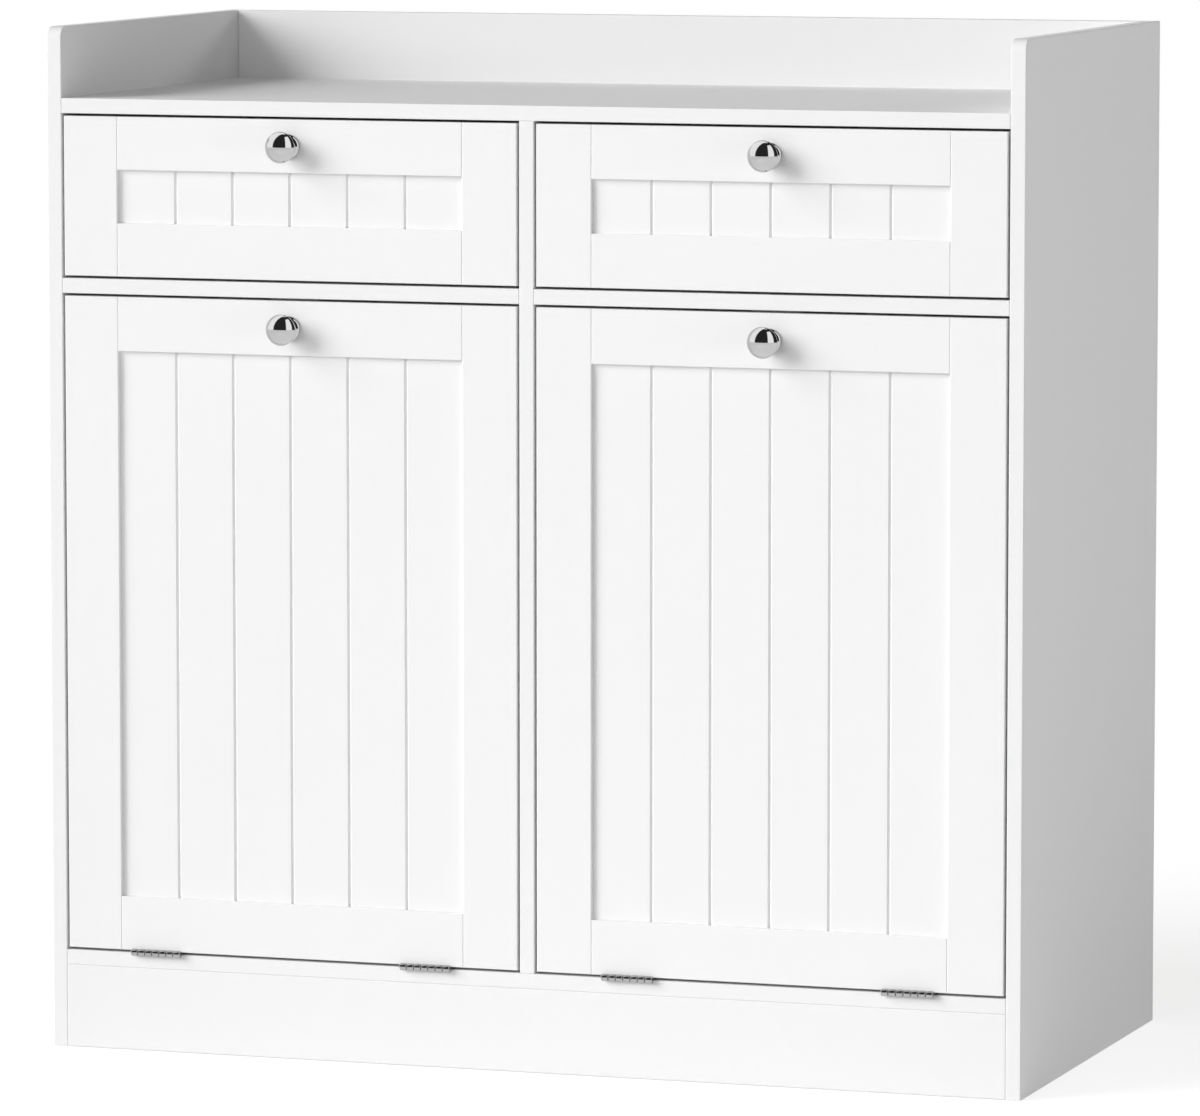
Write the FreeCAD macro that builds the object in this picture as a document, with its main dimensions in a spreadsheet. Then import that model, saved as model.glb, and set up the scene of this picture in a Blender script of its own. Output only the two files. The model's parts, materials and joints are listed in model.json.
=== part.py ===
import FreeCAD, Part

import math
import os
import re

import Sketcher
from FreeCAD import Vector

# Laundry hamper cabinet: a carcass of boards, two drawers on runners and two doors that tilt out on bottom
# hinges with a hamper frame and bag behind each. The frame has +Z up, the front faces -Y, and the origin is
# on the floor under the middle of the whole object, knobs included.

# Driving dimensions, in millimetres and degrees
SIZES = (
    ("cabinet_width", 800, "over the side panels"),
    ("cabinet_depth", 400, "front to rear edge of a side panel"),
    ("board", 12, "thickness of the carcass boards"),
    ("plinth_height", 66, "floor to the bottom panel"),
    ("door_opening", 524, "bottom panel to mid shelf"),
    ("drawer_opening", 130, "mid shelf to top panel"),
    ("guard_rise", 56, "side panels and back guard above the top panel"),
    ("back_inset", 4, "inner boards end this far before the side panels' rear edges"),
    ("back_sheet", 3, "thickness of the hardboard back"),
    ("back_lap", 6, "width of the rabbet that holds the back"),
    ("back_seam", 0.5, "between the two halves of the back"),
    ("corner_round", 9, "front top corner of a side panel"),
    ("edge_round", 0.8, "eased edges of painted boards"),
    ("reveal", 2, "gap around the drawer and door fronts"),
    ("front_thickness", 15, "stiles and rails, front to back"),
    ("stile_width", 45, "upright frame member"),
    ("drawer_rail", 42, "height of a drawer front's rails"),
    ("door_rail", 43, "height of a door's rails"),
    ("panel_recess", 4, "bead panel behind the frame's face"),
    ("panel_thickness", 5, "bead panel"),
    ("tongue", 6, "depth of the groove inside the frame"),
    ("joint_play", 0.1, "clearance of tongues and tenons in their grooves"),
    ("bead_boards", 6, "boards that the bead grooves mark off"),
    ("bead_width", 3, "mouth of a bead groove"),
    ("bead_depth", 1.8, "depth of a bead groove"),
    ("knob_projection", 24, "knob in front of the door face"),
    ("knob_head", 25.1, "diameter of the knob's head before its rim is rounded"),
    ("knob_head_depth", 6.6, "crown of the head, rim to tip"),
    ("knob_rim", 3.2, "underside of the head, rim to neck"),
    ("knob_base", 19.5, "diameter of the knob's foot"),
    ("knob_foot", 1.8, "thickness of the foot's edge"),
    ("knob_edge", 0.6, "rounding of the head's rim"),
    ("knob_neck", 11.5, "diameter of the neck"),
    ("screw_diameter", 4, "knob screw"),
    ("screw_head", 8, "diameter of the knob screw's head"),
    ("screw_head_height", 2.4, "knob screw's pan head"),
    ("screw_bite", 10, "knob screw inside the knob"),
    ("screw_play", 0.2, "radial clearance of the knob screw"),
    ("hinge_length", 42, "butt hinge along its pin"),
    ("hinge_offset", 113.5, "hinge centre from the middle of the door"),
    ("hinge_pairs", 3, "knuckles on the door's leaf, one fewer than on the base leaf"),
    ("knuckle_radius", 2.9, "outside of a knuckle"),
    ("knuckle_clear", 0.3, "knuckle to the boards beside it and to the next knuckle"),
    ("hinge_pin_radius", 1.5, "hinge pin"),
    ("hinge_play", 0.05, "radial clearance of the hinge pin"),
    ("leaf_depth", 13, "hinge leaf under the door"),
    ("leaf_gap", 0.2, "between the two leaves of a closed hinge"),
    ("tilt_angle", 35, "door's tilt from shut to the stop"),
    ("slot_radius", 290, "arc slot from the hinge pin"),
    ("stop_angle", 58, "stop pin above the horizontal, seen from the hinge pin"),
    ("stop_pin", 8, "diameter of the tilt stop pin"),
    ("stop_flange", 16, "diameter of the stop pin's flange"),
    ("stop_flange_thickness", 2, "stop pin's flange on the cabinet wall"),
    ("slot_play", 0.5, "clearance around the stop pin in the slot"),
    ("hamper_board", 12, "thickness of the hamper frame's boards"),
    ("hamper_gap", 14, "hamper frame to the cabinet wall"),
    ("hamper_depth", 300, "side boards behind the door"),
    ("hamper_lift", 10, "hamper frame's underside above the hinge pin"),
    ("hamper_headroom", 83, "side boards' top at the door, below the mid shelf"),
    ("hamper_fall", 60, "side boards' top, from the door down to the rear"),
    ("hamper_corner", 60, "rounded lower rear corner of the side boards"),
    ("hamper_nose", 20, "rounded upper rear corner of the side boards"),
    ("hamper_rail", 60, "height of the hamper frame's rails"),
    ("slat_width", 56, "base slats under the bag"),
    ("slat_inset", 30, "base slats from the rounded ends of the side boards and the front rail"),
    ("bag_wall", 2, "bag cloth with its lining"),
    ("bag_clear", 0.3, "bag to the hamper frame"),
    ("bag_corner", 40, "rounded corners and lower edges of the bag"),
    ("bag_drop", 12, "bag's rim below the top of the hamper frame"),
    ("drawer_side", 12, "thickness of the drawer box"),
    ("drawer_gap", 3, "drawer box to the cabinet wall"),
    ("drawer_box_height", 96, "drawer box sides"),
    ("drawer_rear_gap", 31, "drawer box to the back of the cabinet"),
    ("drawer_lift", 8, "drawer box above the mid shelf"),
    ("drawer_bottom", 3, "thickness of the drawer's bottom"),
    ("bottom_lift", 8, "drawer's bottom above the lower edge of its sides"),
    ("bottom_tongue", 5, "drawer's bottom inside the grooves of its sides"),
    ("runner_height", 16, "drawer runner"),
    ("runner_projection", 9, "drawer runner out of the cabinet wall"),
    ("runner_setback", 26, "runner's front end behind the cabinet's front"),
    ("runner_lift", 40, "runner above the lower edge of the drawer box"),
    ("runner_play", 0.3, "clearance around the runner in its groove"),
    ("catch_width", 40, "magnetic catch"),
    ("catch_depth", 18, "magnetic catch"),
    ("catch_height", 14, "magnetic catch"),
    ("catch_gap", 0.4, "magnetic catch to its strike plate"),
    ("strike_width", 30, "strike plate"),
    ("strike_height", 11, "strike plate"),
    ("strike_thickness", 1, "strike plate"),
)

# Places worked out from the driving dimensions
FRONT_Y = "(knob_projection - cabinet_depth) / 2"
INNER_DEPTH = "cabinet_depth - back_inset"
OPENING_WIDTH = "(cabinet_width - 3 * board) / 2"
COLUMN_X = "-(cabinet_width - board) / 4"
BOTTOM_Z = "plinth_height + board"
SHELF_Z = f"{BOTTOM_Z} + door_opening"
TOP_Z = f"{SHELF_Z} + board + drawer_opening"
CABINET_HEIGHT = f"{TOP_Z} + board + guard_rise"
FRONT_WIDTH = f"({OPENING_WIDTH} - 2 * reveal)"
FIELD_WIDTH = f"({FRONT_WIDTH} - 2 * stile_width)"
DOOR_Z = f"{BOTTOM_Z} + reveal"
DOOR_HEIGHT = "(door_opening - 2 * reveal)"
DRAWER_Z = f"{SHELF_Z} + board + reveal"
DRAWER_HEIGHT = "(drawer_opening - 2 * reveal)"
HINGE_Y = f"{FRONT_Y} - knuckle_radius - knuckle_clear"
HINGE_Z = f"{BOTTOM_Z} + reveal / 2"
DOOR_BACK = "(knuckle_radius + knuckle_clear + front_thickness)"
GROOVE_FRONT = "panel_recess - joint_play"
GROOVE_BACK = "panel_recess + panel_thickness + joint_play"
TONGUE_REACH = "(tongue - joint_play)"
KNUCKLE_PITCH = "hinge_length / (2 * hinge_pairs + 1)"
FRAME_WIDTH = f"({OPENING_WIDTH} - 2 * hamper_gap)"
FRAME_INSIDE = f"({FRAME_WIDTH} - 2 * hamper_board)"
FRAME_REAR = f"({DOOR_BACK} + hamper_depth)"
FRAME_FRONT_TOP = "(door_opening - reveal / 2 - hamper_headroom)"
FRAME_REAR_TOP = f"({FRAME_FRONT_TOP} - hamper_fall)"
FRAME_SLOPE = "hamper_fall / hamper_depth"
DRAWER_BOX_WIDTH = f"({OPENING_WIDTH} - 2 * drawer_gap)"
DRAWER_BOX_Z = f"{SHELF_Z} + board + drawer_lift"
DRAWER_BOX_DEPTH = f"({INNER_DEPTH} - front_thickness - drawer_rear_gap)"

NEAR = 1e-4
WORD = re.compile(r"[A-Za-z_]\w*")

doc = FreeCAD.newDocument("laundry_hamper_cabinet")
sheet = doc.addObject("Spreadsheet::Sheet", "sizes")
for row, (alias, size, note) in enumerate(SIZES, start=1):
    sheet.set(f"A{row}", note)
    sheet.set(f"B{row}", str(size))
    sheet.setAlias(f"B{row}", alias)
doc.recompute()

ALIASES = {alias for alias, size, note in SIZES}
nodes = {}


def cells(text):
    """The expression with each size's name turned into a reference to its cell."""
    return WORD.sub(lambda word: f"sizes.{word[0]}" if word[0] in ALIASES else word[0], text)


def number(text):
    """Present value of an expression on the sizes."""
    return float(sheet.evalExpression(cells(text)))


def bind(thing, **expressions):
    """Tie properties to expressions; a double underscore stands for the dot of a sub-property."""
    for path, text in expressions.items():
        thing.setExpression(path.replace("__", "."), cells(text))


def place(thing, x="0", y=FRONT_Y, z="0"):
    bind(thing, Placement__Base__x=x, Placement__Base__y=y, Placement__Base__z=z)


def new_body(name, x="0", y=FRONT_Y, z="0"):
    body = doc.addObject("PartDesign::Body", name)
    place(body, x, y, z)
    return body


def origin_feature(body, role):
    """One of the body's own origin planes or axes."""
    return next(item for item in body.Origin.OriginFeatures if item.Role == role)


def new_sketch(body, plane, offset="0"):
    """Sketch on one of the body's own origin planes, moved along the plane's normal."""
    sketch = body.newObject("Sketcher::SketchObject", f"{body.Name}_sketch")
    sketch.AttachmentSupport = (origin_feature(body, plane), [""])
    sketch.MapMode = "FlatFace"
    bind(sketch, AttachmentOffset__Base__z=offset)
    return sketch


def constrain(sketch, name, text, *reference):
    """Add a dimension to a sketch and tie it to an expression."""
    index = sketch.addConstraint(Sketcher.Constraint(*reference, number(text)))
    sketch.renameConstraint(index, name)
    sketch.setExpression(f"Constraints.{name}", cells(text))


def arc_between(start, finish, radius, turn):
    """Arc of under half a circle; a turn of +1 runs anticlockwise from start to finish, -1 clockwise."""
    chord = finish - start
    rise = math.sqrt(radius ** 2 - (chord.Length / 2) ** 2)
    side = Vector(-chord.y, chord.x, 0).normalize()
    centre = (start + finish) / 2 + side * rise * turn
    first, last = (start, finish) if turn > 0 else (finish, start)
    angles = [math.atan2(point.y - centre.y, point.x - centre.x) for point in (first, last)]
    return Part.ArcOfCircle(Part.Circle(centre, Vector(0, 0, 1), radius), *angles)


def profile(sketch, corners, arcs=None):
    """Closed outline through corners given as expressions. arcs gives the radius and turn of each side that
    is an arc, by the number of the corner where that side starts."""
    arcs = arcs or {}
    points = [Vector(number(x), number(y), 0) for x, y in corners]
    start_at = sketch.GeometryCount
    tails = []
    for side, start in enumerate(points):
        finish = points[(side + 1) % len(points)]
        if side in arcs:
            radius, turn = arcs[side]
            index = sketch.addGeometry(arc_between(start, finish, number(radius), turn))
            constrain(sketch, f"radius_{index}", radius, "Radius", index)
            tails.append((1, 2) if turn > 0 else (2, 1))
        else:
            sketch.addGeometry(Part.LineSegment(start, finish))
            tails.append((1, 2))
    for side, (x, y) in enumerate(corners):
        index = start_at + side
        before = (side - 1) % len(points)
        head = tails[side][0]
        sketch.addConstraint(
            Sketcher.Constraint("Coincident", start_at + before, tails[before][1], index, head))
        constrain(sketch, f"across_{index}", x, "DistanceX", -1, 1, index, head)
        constrain(sketch, f"up_{index}", y, "DistanceY", -1, 1, index, head)


def rectangle(sketch, x0, x1, y0, y1):
    profile(sketch, ((x0, y0), (x1, y0), (x1, y1), (x0, y1)))


def rounded_rectangle(sketch, x0, x1, y0, y1, radius):
    """Rectangle with rounded corners, each a quarter circle."""
    low_x, high_x = f"{x0} + {radius}", f"{x1} - {radius}"
    low_y, high_y = f"{y0} + {radius}", f"{y1} - {radius}"
    corners = ((low_x, y0), (high_x, y0), (x1, low_y), (x1, high_y),
               (high_x, y1), (low_x, y1), (x0, high_y), (x0, low_y))
    profile(sketch, corners, {side: (radius, 1) for side in (1, 3, 5, 7)})


def circle(sketch, x, y, radius):
    index = sketch.addGeometry(
        Part.Circle(Vector(number(x), number(y), 0), Vector(0, 0, 1), number(radius)))
    constrain(sketch, f"radius_{index}", radius, "Radius", index)
    constrain(sketch, f"across_{index}", x, "DistanceX", -1, 1, index, 3)
    constrain(sketch, f"up_{index}", y, "DistanceY", -1, 1, index, 3)


def pad(body, sketch, length, reverse=False):
    feature = body.newObject("PartDesign::Pad", f"{body.Name}_pad")
    feature.Profile = sketch
    feature.Reversed = reverse
    bind(feature, Length=length)
    return feature


def pocket(body, sketch, length, reverse=False):
    """Cut a sketch into the body, against the sketch's normal unless reversed, and see that it cuts."""
    doc.recompute()
    before = body.Tip.Shape.Volume
    feature = body.newObject("PartDesign::Pocket", f"{body.Name}_pocket")
    feature.Profile = sketch
    feature.Reversed = reverse
    bind(feature, Length=length)
    doc.recompute()
    if feature.Shape.Volume > before - NEAR:
        raise RuntimeError(f"{feature.Name} cuts nothing")
    return feature


def round_edges(body, radius, chosen):
    """Fillet the edges of the body whose end points pass the test."""
    doc.recompute()
    base = body.Tip
    names = [f"Edge{index}" for index, edge in enumerate(base.Shape.Edges, start=1)
             if chosen([vertex.Point for vertex in edge.Vertexes])]
    feature = body.newObject("PartDesign::Fillet", f"{body.Name}_round")
    feature.Base = (base, names)
    bind(feature, Radius=radius)
    return feature


def in_front(points):
    """True on the face that looks to the front, y = 0 in a body of the cabinet's front."""
    return all(abs(point.y) < NEAR for point in points)


def turn(body, sketch):
    """Turn a half profile about the body's Y axis."""
    feature = body.newObject("PartDesign::Revolution", f"{body.Name}_turned")
    feature.Profile = sketch
    feature.ReferenceAxis = (origin_feature(body, "Y_Axis"), [""])
    feature.Angle = 360
    return feature


def linear_pattern(body, originals, axis, length, copies):
    feature = body.newObject("PartDesign::LinearPattern", f"{body.Name}_pattern")
    feature.Originals = originals
    feature.Direction = (origin_feature(body, axis), [""])
    bind(feature, Length=length, Occurrences=copies)
    body.Tip = feature
    return feature


def plank(name, x0, x1, y0, y1, z, height, eased=True):
    """Plain board with eased front edges, in the cabinet's frame with y counted from the front."""
    body = new_body(name, z=z)
    sketch = new_sketch(body, "XY_Plane")
    rectangle(sketch, x0, x1, y0, y1)
    pad(body, sketch, height)
    if eased:
        front = number(y0)
        round_edges(body, "edge_round", lambda points: all(abs(point.y - front) < NEAR for point in points))
    return body


def mirrored(source, name, **plane):
    """Mirror image across the plane x = value or z = value."""
    (axis, text), = plane.items()
    image = doc.addObject("Part::Mirroring", name)
    image.Source = source
    image.Normal = Vector(1, 0, 0) if axis == "x" else Vector(0, 0, 1)
    bind(image, **{f"Base__{axis}": text})
    return image


def node(name, *pieces):
    """Name a finished sub-part; several pieces become one group of separate solids."""
    part = pieces[0]
    if len(pieces) > 1:
        part = doc.addObject("Part::Compound", name)
        part.Links = list(pieces)
    part.Label = name
    nodes[name] = part
    return part


def both_columns(name, *pieces):
    """Sub-part of the left column and its mirror image in the right column."""
    left = node(f"left_{name}", *pieces)
    node(f"right_{name}", mirrored(left, f"right_{name}", x="0"))


def pair(body):
    """A piece and its image across the middle of the left column."""
    return body, mirrored(body, f"{body.Name}_opposite", x=COLUMN_X)


# Carcass
def side_panel():
    """Side panel: one rounded corner at the top front, a rabbet for the back along the inner rear edge."""
    body = new_body("left_side_panel", x="-cabinet_width / 2")
    sketch = new_sketch(body, "YZ_Plane")
    corners = (("0", "0"), ("cabinet_depth", "0"), ("cabinet_depth", CABINET_HEIGHT),
               ("corner_round", CABINET_HEIGHT), ("0", f"{CABINET_HEIGHT} - corner_round"))
    profile(sketch, corners, {3: ("corner_round", 1)})
    pad(body, sketch, "board")
    rear = number("cabinet_depth")

    def on_front_or_top(points):
        along_face = max(point.x for point in points) - min(point.x for point in points) < NEAR
        bottom = all(point.z < NEAR for point in points)
        at_rear = all(point.y > rear - NEAR for point in points)
        return along_face and not bottom and not at_rear

    round_edges(body, "edge_round", on_front_or_top)
    rabbet = new_sketch(body, "XY_Plane")
    rectangle(rabbet, "board - back_lap", "board", INNER_DEPTH, "cabinet_depth")
    pocket(body, rabbet, CABINET_HEIGHT, reverse=True)
    return body


def carcass():
    inside = ("-cabinet_width / 2 + board", "cabinet_width / 2 - board")
    both_columns("side_panel", side_panel())
    node("bottom_panel", plank("bottom_panel", *inside, "0", INNER_DEPTH, "plinth_height", "board"))
    rear_face = f"{INNER_DEPTH} - board"
    node("top_panel", plank("top_panel", *inside, "0", rear_face, TOP_Z, "board"))
    divider_height = f"{TOP_Z} - ({BOTTOM_Z})"
    node("centre_divider",
         plank("centre_divider", "-board / 2", "board / 2", "0", INNER_DEPTH, BOTTOM_Z, divider_height))
    both_columns("mid_shelf",
                 plank("left_mid_shelf", inside[0], "-board / 2", "0", INNER_DEPTH, SHELF_Z, "board"))
    node("front_plinth", plank("front_plinth", *inside, "0", "board", "0", "plinth_height"))
    node("rear_plinth",
         plank("rear_plinth", *inside, rear_face, INNER_DEPTH, "0", "plinth_height", eased=False))
    node("back_guard",
         plank("back_guard", *inside, rear_face, INNER_DEPTH, TOP_Z, "board + guard_rise"))
    both_columns("back_panel",
                 plank("left_back_panel", f"{inside[0]} - back_lap", "-back_seam / 2", INNER_DEPTH,
                       f"{INNER_DEPTH} + back_sheet", "plinth_height",
                       f"{TOP_Z} + board - plinth_height", eased=False))


# Framed fronts with a bead panel
def stile(name, z, height):
    """Upright frame member, grooved along its inner edge."""
    body = new_body(name, x=COLUMN_X, z=z)
    outer, inner = f"-{FRONT_WIDTH} / 2", f"-{FIELD_WIDTH} / 2"
    sketch = new_sketch(body, "XY_Plane")
    profile(sketch, ((outer, "0"), (inner, "0"), (inner, GROOVE_FRONT), (f"{inner} - tongue", GROOVE_FRONT),
                     (f"{inner} - tongue", GROOVE_BACK), (inner, GROOVE_BACK), (inner, "front_thickness"),
                     (outer, "front_thickness")))
    pad(body, sketch, height)
    round_edges(body, "edge_round", in_front)
    return body


def rail(name, z, height):
    """Lower frame member: grooved along its upper edge, with a stub tenon into each stile's groove."""
    body = new_body(name, x=f"{COLUMN_X} - {FIELD_WIDTH} / 2", z=z)
    sketch = new_sketch(body, "YZ_Plane")
    profile(sketch, (("0", "0"), ("front_thickness", "0"), ("front_thickness", height), (GROOVE_BACK, height),
                     (GROOVE_BACK, f"{height} - tongue"), (GROOVE_FRONT, f"{height} - tongue"),
                     (GROOVE_FRONT, height), ("0", height)))
    pad(body, sketch, FIELD_WIDTH)
    round_edges(body, "edge_round", in_front)
    tenon = new_sketch(body, "YZ_Plane", offset=f"-{TONGUE_REACH}")
    rectangle(tenon, "panel_recess", "panel_recess + panel_thickness", "0", f"{height} - tongue")
    pad(body, tenon, f"{FIELD_WIDTH} + 2 * {TONGUE_REACH}")
    return body


def drilled_rail(lower, name, z, height, knob_z):
    """Upper rail: the lower one turned over, with a clearance hole for the knob's screw."""
    upper = mirrored(lower, f"{name}_blank", z=f"{z} + {height} / 2")
    drill = doc.addObject("Part::Cylinder", f"{name}_hole")
    drill.Placement.Rotation = FreeCAD.Rotation(Vector(1, 0, 0), -90)
    place(drill, x=COLUMN_X, z=knob_z)
    bind(drill, Radius="screw_diameter / 2 + screw_play", Height="front_thickness")
    cut = doc.addObject("Part::Cut", name)
    cut.Base = upper
    cut.Tool = drill
    return cut


def bead_panel(name, z, height, rail_height):
    """Recessed panel with V-grooves that mark off its boards, and edges inside the frame's grooves."""
    body = new_body(name, x=COLUMN_X, z=f"{z} + {rail_height} - {TONGUE_REACH}")
    edge = f"{FIELD_WIDTH} / 2 + {TONGUE_REACH}"
    panel_height = f"{height} - 2 * {rail_height} + 2 * {TONGUE_REACH}"
    sketch = new_sketch(body, "XY_Plane")
    rectangle(sketch, f"-({edge})", edge, "panel_recess", "panel_recess + panel_thickness")
    pad(body, sketch, panel_height)
    board_width = f"{FIELD_WIDTH} / bead_boards"
    first = f"-{FIELD_WIDTH} / 2 + {board_width}"
    groove = new_sketch(body, "XY_Plane")
    profile(groove, ((f"{first} - bead_width / 2", "panel_recess"),
                     (f"{first} + bead_width / 2", "panel_recess"), (first, "panel_recess + bead_depth")))
    cut = pocket(body, groove, panel_height, reverse=True)
    linear_pattern(body, [cut], "X_Axis", f"{FIELD_WIDTH} - 2 * {board_width}", "bead_boards - 1")
    return body


def knob(name, z):
    """Mushroom knob turned about its axis: foot, hollow neck curve, rounded rim and domed crown."""
    body = new_body(name, x=COLUMN_X, z=z)
    bore = "(screw_diameter / 2 + screw_play)"
    head, neck = "knob_head / 2", "knob_neck / 2"
    rim = "-(knob_projection - knob_head_depth)"
    throat = f"{rim} + knob_rim"
    sketch = new_sketch(body, "XY_Plane")
    corners = ((bore, "0"), ("knob_base / 2", "0"), ("knob_base / 2", "-knob_foot"), (neck, throat),
               (head, rim), ("0", "-knob_projection"), ("0", "-screw_bite"), (bore, "-screw_bite"))
    hollow = "(knob_projection - knob_head_depth - knob_rim - knob_foot)"
    crown = "((knob_head / 2) ^ 2 + knob_head_depth ^ 2) / (2 * knob_head_depth)"
    profile(sketch, corners, {2: (hollow, 1), 4: (crown, -1)})
    turn(body, sketch)
    rim_y = number(rim)
    round_edges(body, "knob_edge", lambda points: all(abs(point.y - rim_y) < NEAR for point in points))
    return body


def knob_screw(name, z):
    """Pan-head screw from the back of the rail into the knob."""
    body = new_body(name, x=COLUMN_X, z=z)
    shank, tip = "screw_diameter / 2", "-(screw_bite - screw_play)"
    back = "front_thickness + screw_head_height"
    sketch = new_sketch(body, "XY_Plane")
    corners = (("0", tip), (shank, tip), (shank, "front_thickness"), ("screw_head / 2", "front_thickness"),
               ("screw_head / 2", f"{back} - screw_head_height / 2"), ("screw_head / 4", back), ("0", back))
    profile(sketch, corners, {4: ("screw_head / 2", 1)})
    turn(body, sketch)
    return body


def framed_front(kind, z, height, rail_height):
    """Stiles, rails, bead panel, knob and knob screw of a drawer front or a door."""
    both_columns(f"{kind}_stiles", *pair(stile(f"{kind}_stile", z, height)))
    lower = rail(f"{kind}_lower_rail", z, rail_height)
    knob_z = f"{z} + {height} - {rail_height} / 2"
    upper = drilled_rail(lower, f"{kind}_upper_rail", z, height, knob_z)
    both_columns(f"{kind}_rails", lower, upper)
    both_columns(f"{kind}_bead_panel", bead_panel(f"left_{kind}_bead_panel", z, height, rail_height))
    both_columns(f"{kind}_knob", knob(f"left_{kind}_knob", knob_z))
    both_columns(f"{kind}_knob_screw", knob_screw(f"left_{kind}_knob_screw", knob_z))


# Drawer boxes and runners
def drawer_box():
    """Box side with a stopped groove for the runner, box back, and a bottom held in the sides' grooves."""
    outer = f"-{DRAWER_BOX_WIDTH} / 2"
    inner = f"{outer} + drawer_side"
    side = new_body("drawer_box_side", x=COLUMN_X, z=DRAWER_BOX_Z)
    sketch = new_sketch(side, "XZ_Plane", offset="-front_thickness")
    groove_low, groove_high = "bottom_lift - joint_play", "bottom_lift + drawer_bottom + joint_play"
    groove_end = f"{inner} - bottom_tongue"
    profile(sketch, ((outer, "0"), (inner, "0"), (inner, groove_low), (groove_end, groove_low),
                     (groove_end, groove_high), (inner, groove_high), (inner, "drawer_box_height"),
                     (outer, "drawer_box_height")))
    pad(side, sketch, DRAWER_BOX_DEPTH, reverse=True)
    rear = f"front_thickness + {DRAWER_BOX_DEPTH}"
    stop = "runner_setback - runner_play"
    runner_groove = new_sketch(side, "XY_Plane", offset="runner_lift - runner_play")
    rectangle(runner_groove, outer, f"{outer} + runner_projection - drawer_gap + runner_play", stop, rear)
    pocket(side, runner_groove, "runner_height + 2 * runner_play", reverse=True)
    both_columns("drawer_box_sides", *pair(side))
    left, right = f"{COLUMN_X} + {inner}", f"{COLUMN_X} - ({inner})"
    both_columns("drawer_box_back",
                 plank("left_drawer_box_back", left, right, f"{rear} - drawer_side", rear,
                       f"{DRAWER_BOX_Z} + bottom_lift + drawer_bottom",
                       "drawer_box_height - bottom_lift - drawer_bottom", eased=False))
    tongue = "(bottom_tongue - joint_play)"
    both_columns("drawer_box_bottom",
                 plank("left_drawer_box_bottom", f"{left} - {tongue}", f"{right} + {tongue}",
                       "front_thickness", rear, f"{DRAWER_BOX_Z} + bottom_lift", "drawer_bottom",
                       eased=False))


def drawer_runners():
    """Runner strip on the cabinet wall, as long as the drawer box, with a rounded leading end."""
    wall = f"-{OPENING_WIDTH} / 2"
    rear = f"runner_setback + {DRAWER_BOX_DEPTH}"
    body = new_body("drawer_runner", x=COLUMN_X, z=f"{DRAWER_BOX_Z} + runner_lift")
    sketch = new_sketch(body, "XY_Plane")
    lead = "runner_projection - drawer_gap"
    profile(sketch, ((wall, "runner_setback"), (f"{wall} + drawer_gap", "runner_setback"),
                     (f"{wall} + runner_projection", f"runner_setback + {lead}"),
                     (f"{wall} + runner_projection", rear), (wall, rear)), {1: (lead, 1)})
    pad(body, sketch, "runner_height")
    both_columns("drawer_runners", *pair(body))


# Tilt hinges
def hinge_leaf(name, low, high, first, knuckles):
    """Leaf plate with every second knuckle on its front edge; its sketches count from the hinge pin."""
    start = "(hinge_offset + hinge_length / 2)"
    body = new_body(name, x=f"{COLUMN_X} - {start}", y=HINGE_Y, z=HINGE_Z)
    plate_front = "knuckle_radius + knuckle_clear"
    plate = new_sketch(body, "YZ_Plane")
    rectangle(plate, plate_front, f"{plate_front} + leaf_depth", low, high)
    pad(body, plate, "hinge_length")
    tab = new_sketch(body, "YZ_Plane", offset=f"{first} * {KNUCKLE_PITCH} + knuckle_clear / 2")
    rectangle(tab, "(hinge_pin_radius + knuckle_radius) / 2", plate_front, low, high)
    tab_pad = pad(body, tab, f"{KNUCKLE_PITCH} - knuckle_clear")
    ring = new_sketch(body, "YZ_Plane", offset=f"{first} * {KNUCKLE_PITCH} + knuckle_clear / 2")
    circle(ring, "0", "0", "knuckle_radius")
    circle(ring, "0", "0", "hinge_pin_radius + hinge_play")
    ring_pad = pad(body, ring, f"{KNUCKLE_PITCH} - knuckle_clear")
    linear_pattern(body, [tab_pad, ring_pad], "X_Axis", f"2 * ({knuckles} - 1) * {KNUCKLE_PITCH}", knuckles)
    return body


def hinges():
    """Base leaf on the bottom panel, door leaf under the door, and the pin through both."""
    base = hinge_leaf("hinge_base_leaf", "-reveal / 2", "-leaf_gap / 2", "0", "(hinge_pairs + 1)")
    left_pair = doc.addObject("Part::Compound", "left_hinge_base_leaves")
    left_pair.Links = pair(base)
    node("hinge_base_leaves", left_pair, mirrored(left_pair, "right_hinge_base_leaves", x="0"))
    pin = doc.addObject("Part::Cylinder", "hinge_pin")
    pin.Placement.Rotation = FreeCAD.Rotation(Vector(0, 1, 0), 90)
    place(pin, x=f"{COLUMN_X} - hinge_offset - hinge_length / 2", y=HINGE_Y, z=HINGE_Z)
    bind(pin, Radius="hinge_pin_radius", Height="hinge_length")
    left_pins = doc.addObject("Part::Compound", "left_hinge_pins")
    left_pins.Links = pair(pin)
    node("hinge_pins", left_pins, mirrored(left_pins, "right_hinge_pins", x="0"))
    door_leaf = hinge_leaf("hinge_door_leaf", "leaf_gap / 2", "reveal / 2", "1", "hinge_pairs")
    both_columns("door_hinge_leaves", *pair(door_leaf))


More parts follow.
